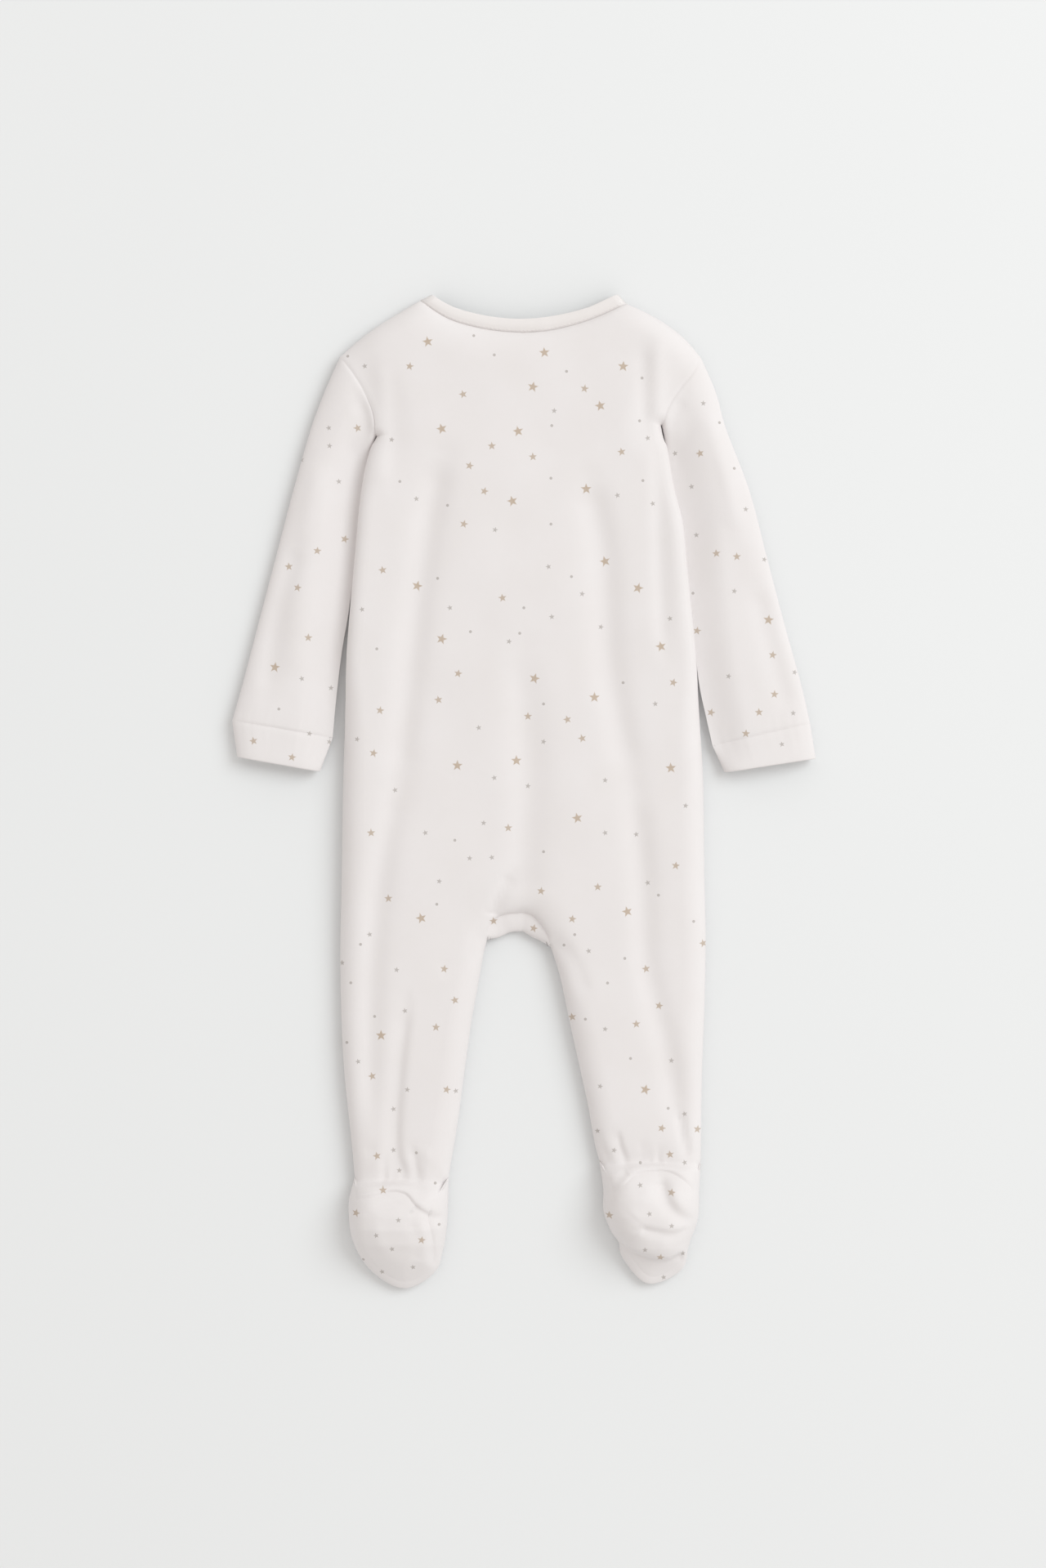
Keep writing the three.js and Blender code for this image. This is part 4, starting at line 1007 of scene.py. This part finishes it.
def addStitches(bm, curve, normals):  # a row of short threads pressed into the cloth
    steps = np.linalg.norm(np.diff(curve, axis=0), axis=1)
    far = np.concatenate([[0], np.cumsum(steps)])
    for place in np.arange(stitch["pitch"] / 2, far[-1], stitch["pitch"]):
        ends = [[np.interp(place + d, far, curve[:, i]) for i in range(3)]
                for d in (-stitch["half"], stitch["half"])]
        up = Vector([np.interp(place, far, normals[:, i]) for i in range(3)]).normalized()
        forward = (Vector(ends[1]) - Vector(ends[0])).normalized()
        sideways = up.cross(forward).normalized()
        turn = Matrix((forward, sideways, forward.cross(sideways))).transposed().to_4x4()
        middle = (Vector(ends[0]) + Vector(ends[1])) / 2 + up * 0.04
        size = Matrix.Diagonal((stitch["half"], stitch["thick"], stitch["thick"], 1))
        bmesh.ops.create_icosphere(bm, subdivisions=1, radius=mm,
                                   matrix=Matrix.Translation(middle * mm) @ turn @ size)


bindingOuter = bindingRows()
toOpening = bindingOuter[-1] - bindingOuter[-2]
toOpening /= np.maximum(np.linalg.norm(toOpening, axis=1, keepdims=True), 1e-6)
bm = bmesh.new()
addPatch(bm, bandFrom(bindingOuter, bindingDetails["thick"], toOpening))
addStitches(bm, bindingOuter[1], outwardNormals(bindingOuter)[1])
finishPiece("neck_binding_cloth", bm, bindingDetails, [bindingMaterial])

# Gusset: from the back's arch over the fold of the crotch to the fronts
gussetDetails = {
    "form": "upper", "wall": 1.1, "slot": "jersey", "flat": (0.045, 0.03), "area": 0.0009,
    "restsOn": ["floor"], "replaces": ["gusset"],
}


gussetFold = {"y": -77.5, "edgeZ": 4.4}


def gussetColumns(side):
    columns = []
    stops = np.linspace(0, 1, divisions["arch"] + 1)
    edges = along(side["gussetEdge"], stops)
    front = side["frontCrotchPoints"].copy()
    middle = np.array([heights["centreX"], gussetFold["y"], 0])
    fold = along(np.vstack([middle, front]), stops)
    for n, arch in enumerate(side["archPoints"]):
        atTip = n == divisions["arch"]
        edge = edges[n].copy()
        edge[2] = heights["seam"] if atTip else gussetFold["edgeZ"]
        column = []
        for angle in np.linspace(0, np.pi / 2, 9):
            p = mix(arch, edge, math.sin(angle))
            p[2] = mix(edge[2], arch[2], math.cos(angle))
            column.append(p)
        for angle in np.linspace(0, np.pi / 2, 6)[1:]:
            p = mix(edge, fold[n], 1 - math.cos(angle))
            p[2] = mix(fold[n][2], edge[2], 1 - math.sin(angle))
            column.append(p)
        columns.append(column)
    return np.array(columns)


gusset = np.concatenate([gussetColumns(left)[::-1], gussetColumns(right)[1:]])
bm = bmesh.new()
addPatch(bm, gusset.transpose(1, 0, 2))
finishPiece("gusset_cloth", bm, gussetDetails, jerseyPair)

# Feet: the upper from the sole seam round the side and under it, and the sole above
upperDetails = {
    "form": "under", "wall": 1.1, "slot": "jersey", "flat": (0.09, 0.11), "area": 0.0059,
    "restsOn": ["floor"],
}
soleDetails = {
    "form": "upper", "wall": 1.1, "slot": "jersey", "flat": (0.06, 0.065), "area": 0.0028,
}


def upperPatch(side):
    foot = side["foot"]
    heelCentre = mix(side["legOuter"][-1], side["legInner"][-1], 0.5) * (1, 1, 0)
    toe = np.array(foot["stations"][5][0])
    toeCentre = np.array([toe[0], toe[1] + 14, 0])
    nearest = np.minimum(foot["stops"], 1 - foot["stops"])
    centres = mix(heelCentre, toeCentre, np.clip(nearest / toeStart, 0, 1)[:, None])
    rows = []
    for seam, out, centre in zip(foot["seam"], foot["out"], centres):
        row = [mix(seam, out, math.sin(angle)) for angle in np.linspace(0, np.pi / 2, 9)[:-1]]
        floor = out * (1, 1, 0)
        width = np.linalg.norm(floor - centre)
        for stop in 1 - np.cos(np.linspace(0, np.pi / 2, 7)):
            p = mix(floor, centre, stop * heights["under"] / width)
            p[2] = out[2] * (1 - quarter(stop))
            row.append(p)
        low = row[-1]
        row += [mix(low, centre, t) for t in (0.25, 0.5, 0.75, 1)]
        rows.append(row)
    rows = np.array(rows)
    flank = rows[:, 1:8]
    flank[:, :, 2] = footHeight(foot, flank[:, :, 0], flank[:, :, 1])
    return rows


def solePatch(side):
    foot = side["foot"]
    stops = np.linspace(0, 1, len(foot["soleLeft"]))
    sole = between(foot["heelEdge"], foot["toeEdge"], foot["soleLeft"], foot["soleRight"], stops)
    inside = sole[1:-1, 1:-1]
    inside[:, :, 2] = footHeight(foot, inside[:, :, 0], inside[:, :, 1])
    return sole


for name, side in sides.items():
    bm = bmesh.new()
    addPatch(bm, upperPatch(side))
    finishPiece(f"foot_upper_{name}_cloth", bm,
                {**upperDetails, "replaces": [f"foot_upper_{name}"]}, jerseyPair)
    bm = bmesh.new()
    addPatch(bm, solePatch(side))
    finishPiece(f"sole_{name}_cloth", bm, {**soleDetails, "replaces": [f"sole_{name}"],
                                           "restsOn": [f"foot_upper_{name}_cloth"]}, jerseyPair)
print("feet ready")

# Placket and press studs keep their solids and take better finishes
studLook = {"cap": (0.80, 0.77, 0.73), "roughness": 0.32, "count": 7}


def studCap():
    finish = Finish("press stud", Coat_Weight=0.4, Coat_Roughness=0.15)
    place = finish.add("ShaderNodeTexCoord", None, (), output=3)
    grain = finish.add("ShaderNodeTexNoise", None, {"Vector": place, "Scale": 700.0, "Detail": 2.0})
    finish.give(finish.shader.inputs["Base Color"],
                finish.blend(grain, studLook["cap"], tuple(c * 0.94 for c in studLook["cap"])))
    finish.give(finish.shader.inputs["Roughness"], grain * 0.15 + (studLook["roughness"] - 0.08))
    finish.bump(grain, 0.1, 0.00005)
    return finish.material


def giveFinish(node, material):
    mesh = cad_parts[node].data
    mesh.materials.clear()
    mesh.materials.append(material)


giveFinish("placket", ribbedCloth("placket cloth", True))
studMaterial = studCap()
for number in range(1, studLook["count"] + 1):
    giveFinish(f"stud_{number}", studMaterial)

# Floor, light and camera
stageLook = {
    "floor": (0.803, 0.814, 0.819), "floorSize": 6.0, "floorDrop": 0.0003,
    "camera": (-0.0005, 0.00475, 2.2), "viewHeight": 0.9595, "plane": 0.006,
    "light": (2.9, 1.7, 3.3), "lightSize": 3.2, "lightPower": 98.0,
    "lightColour": (0.95, 1.0, 1.02), "sky": (1.0, 0.972, 0.945), "skyStrength": 0.79,
}


def makeFloor():
    bm = bmesh.new()
    bmesh.ops.create_grid(bm, x_segments=2, y_segments=2, size=stageLook["floorSize"] / 2)
    bmesh.ops.translate(bm, verts=bm.verts, vec=(0, 0, -stageLook["floorDrop"]))
    mesh = bpy.data.meshes.new("floor")
    bm.to_mesh(mesh)
    bm.free()
    finish = Finish("floor paper", Specular_IOR_Level=0.25)
    place = finish.add("ShaderNodeTexCoord", None, (), output=3)
    tone = finish.add("ShaderNodeTexNoise", None, {"Vector": place, "Scale": 3.0, "Detail": 2.0})
    darker = tuple(c * 0.985 for c in stageLook["floor"])
    finish.give(finish.shader.inputs["Base Color"], finish.blend(tone, stageLook["floor"], darker))
    finish.shader.inputs["Roughness"].default_value = 0.9
    mesh.materials.append(finish.material)
    floor = bpy.data.objects.new("floor", mesh)
    bpy.context.scene.collection.objects.link(floor)


def makeLight():
    lamp = bpy.data.lights.new("soft window", "AREA")
    lamp.shape = "DISK"
    lamp.size = stageLook["lightSize"]
    lamp.energy = stageLook["lightPower"]
    lamp.color = stageLook["lightColour"]
    holder = bpy.data.objects.new("soft window", lamp)
    holder.location = stageLook["light"]
    holder.rotation_euler = (-Vector(stageLook["light"])).to_track_quat("-Z", "Y").to_euler()
    bpy.context.scene.collection.objects.link(holder)
    world = bpy.data.worlds.new("room")
    world.use_nodes = True
    sky = world.node_tree.nodes["Background"]
    sky.inputs["Color"].default_value = (*stageLook["sky"], 1)
    sky.inputs["Strength"].default_value = stageLook["skyStrength"]
    bpy.context.scene.world = world


def makeCamera():
    camera = bpy.data.cameras.new("camera")
    camera.sensor_fit = "AUTO"
    camera.sensor_width = 36
    distance = stageLook["camera"][2] - stageLook["plane"]
    camera.lens = camera.sensor_width * distance / stageLook["viewHeight"]
    holder = bpy.data.objects.new("camera", camera)
    holder.location = stageLook["camera"]
    bpy.context.scene.collection.objects.link(holder)
    bpy.context.scene.camera = holder


makeFloor()
makeLight()
makeCamera()
bpy.context.scene.view_settings.view_transform = "Standard"
print("stage ready")
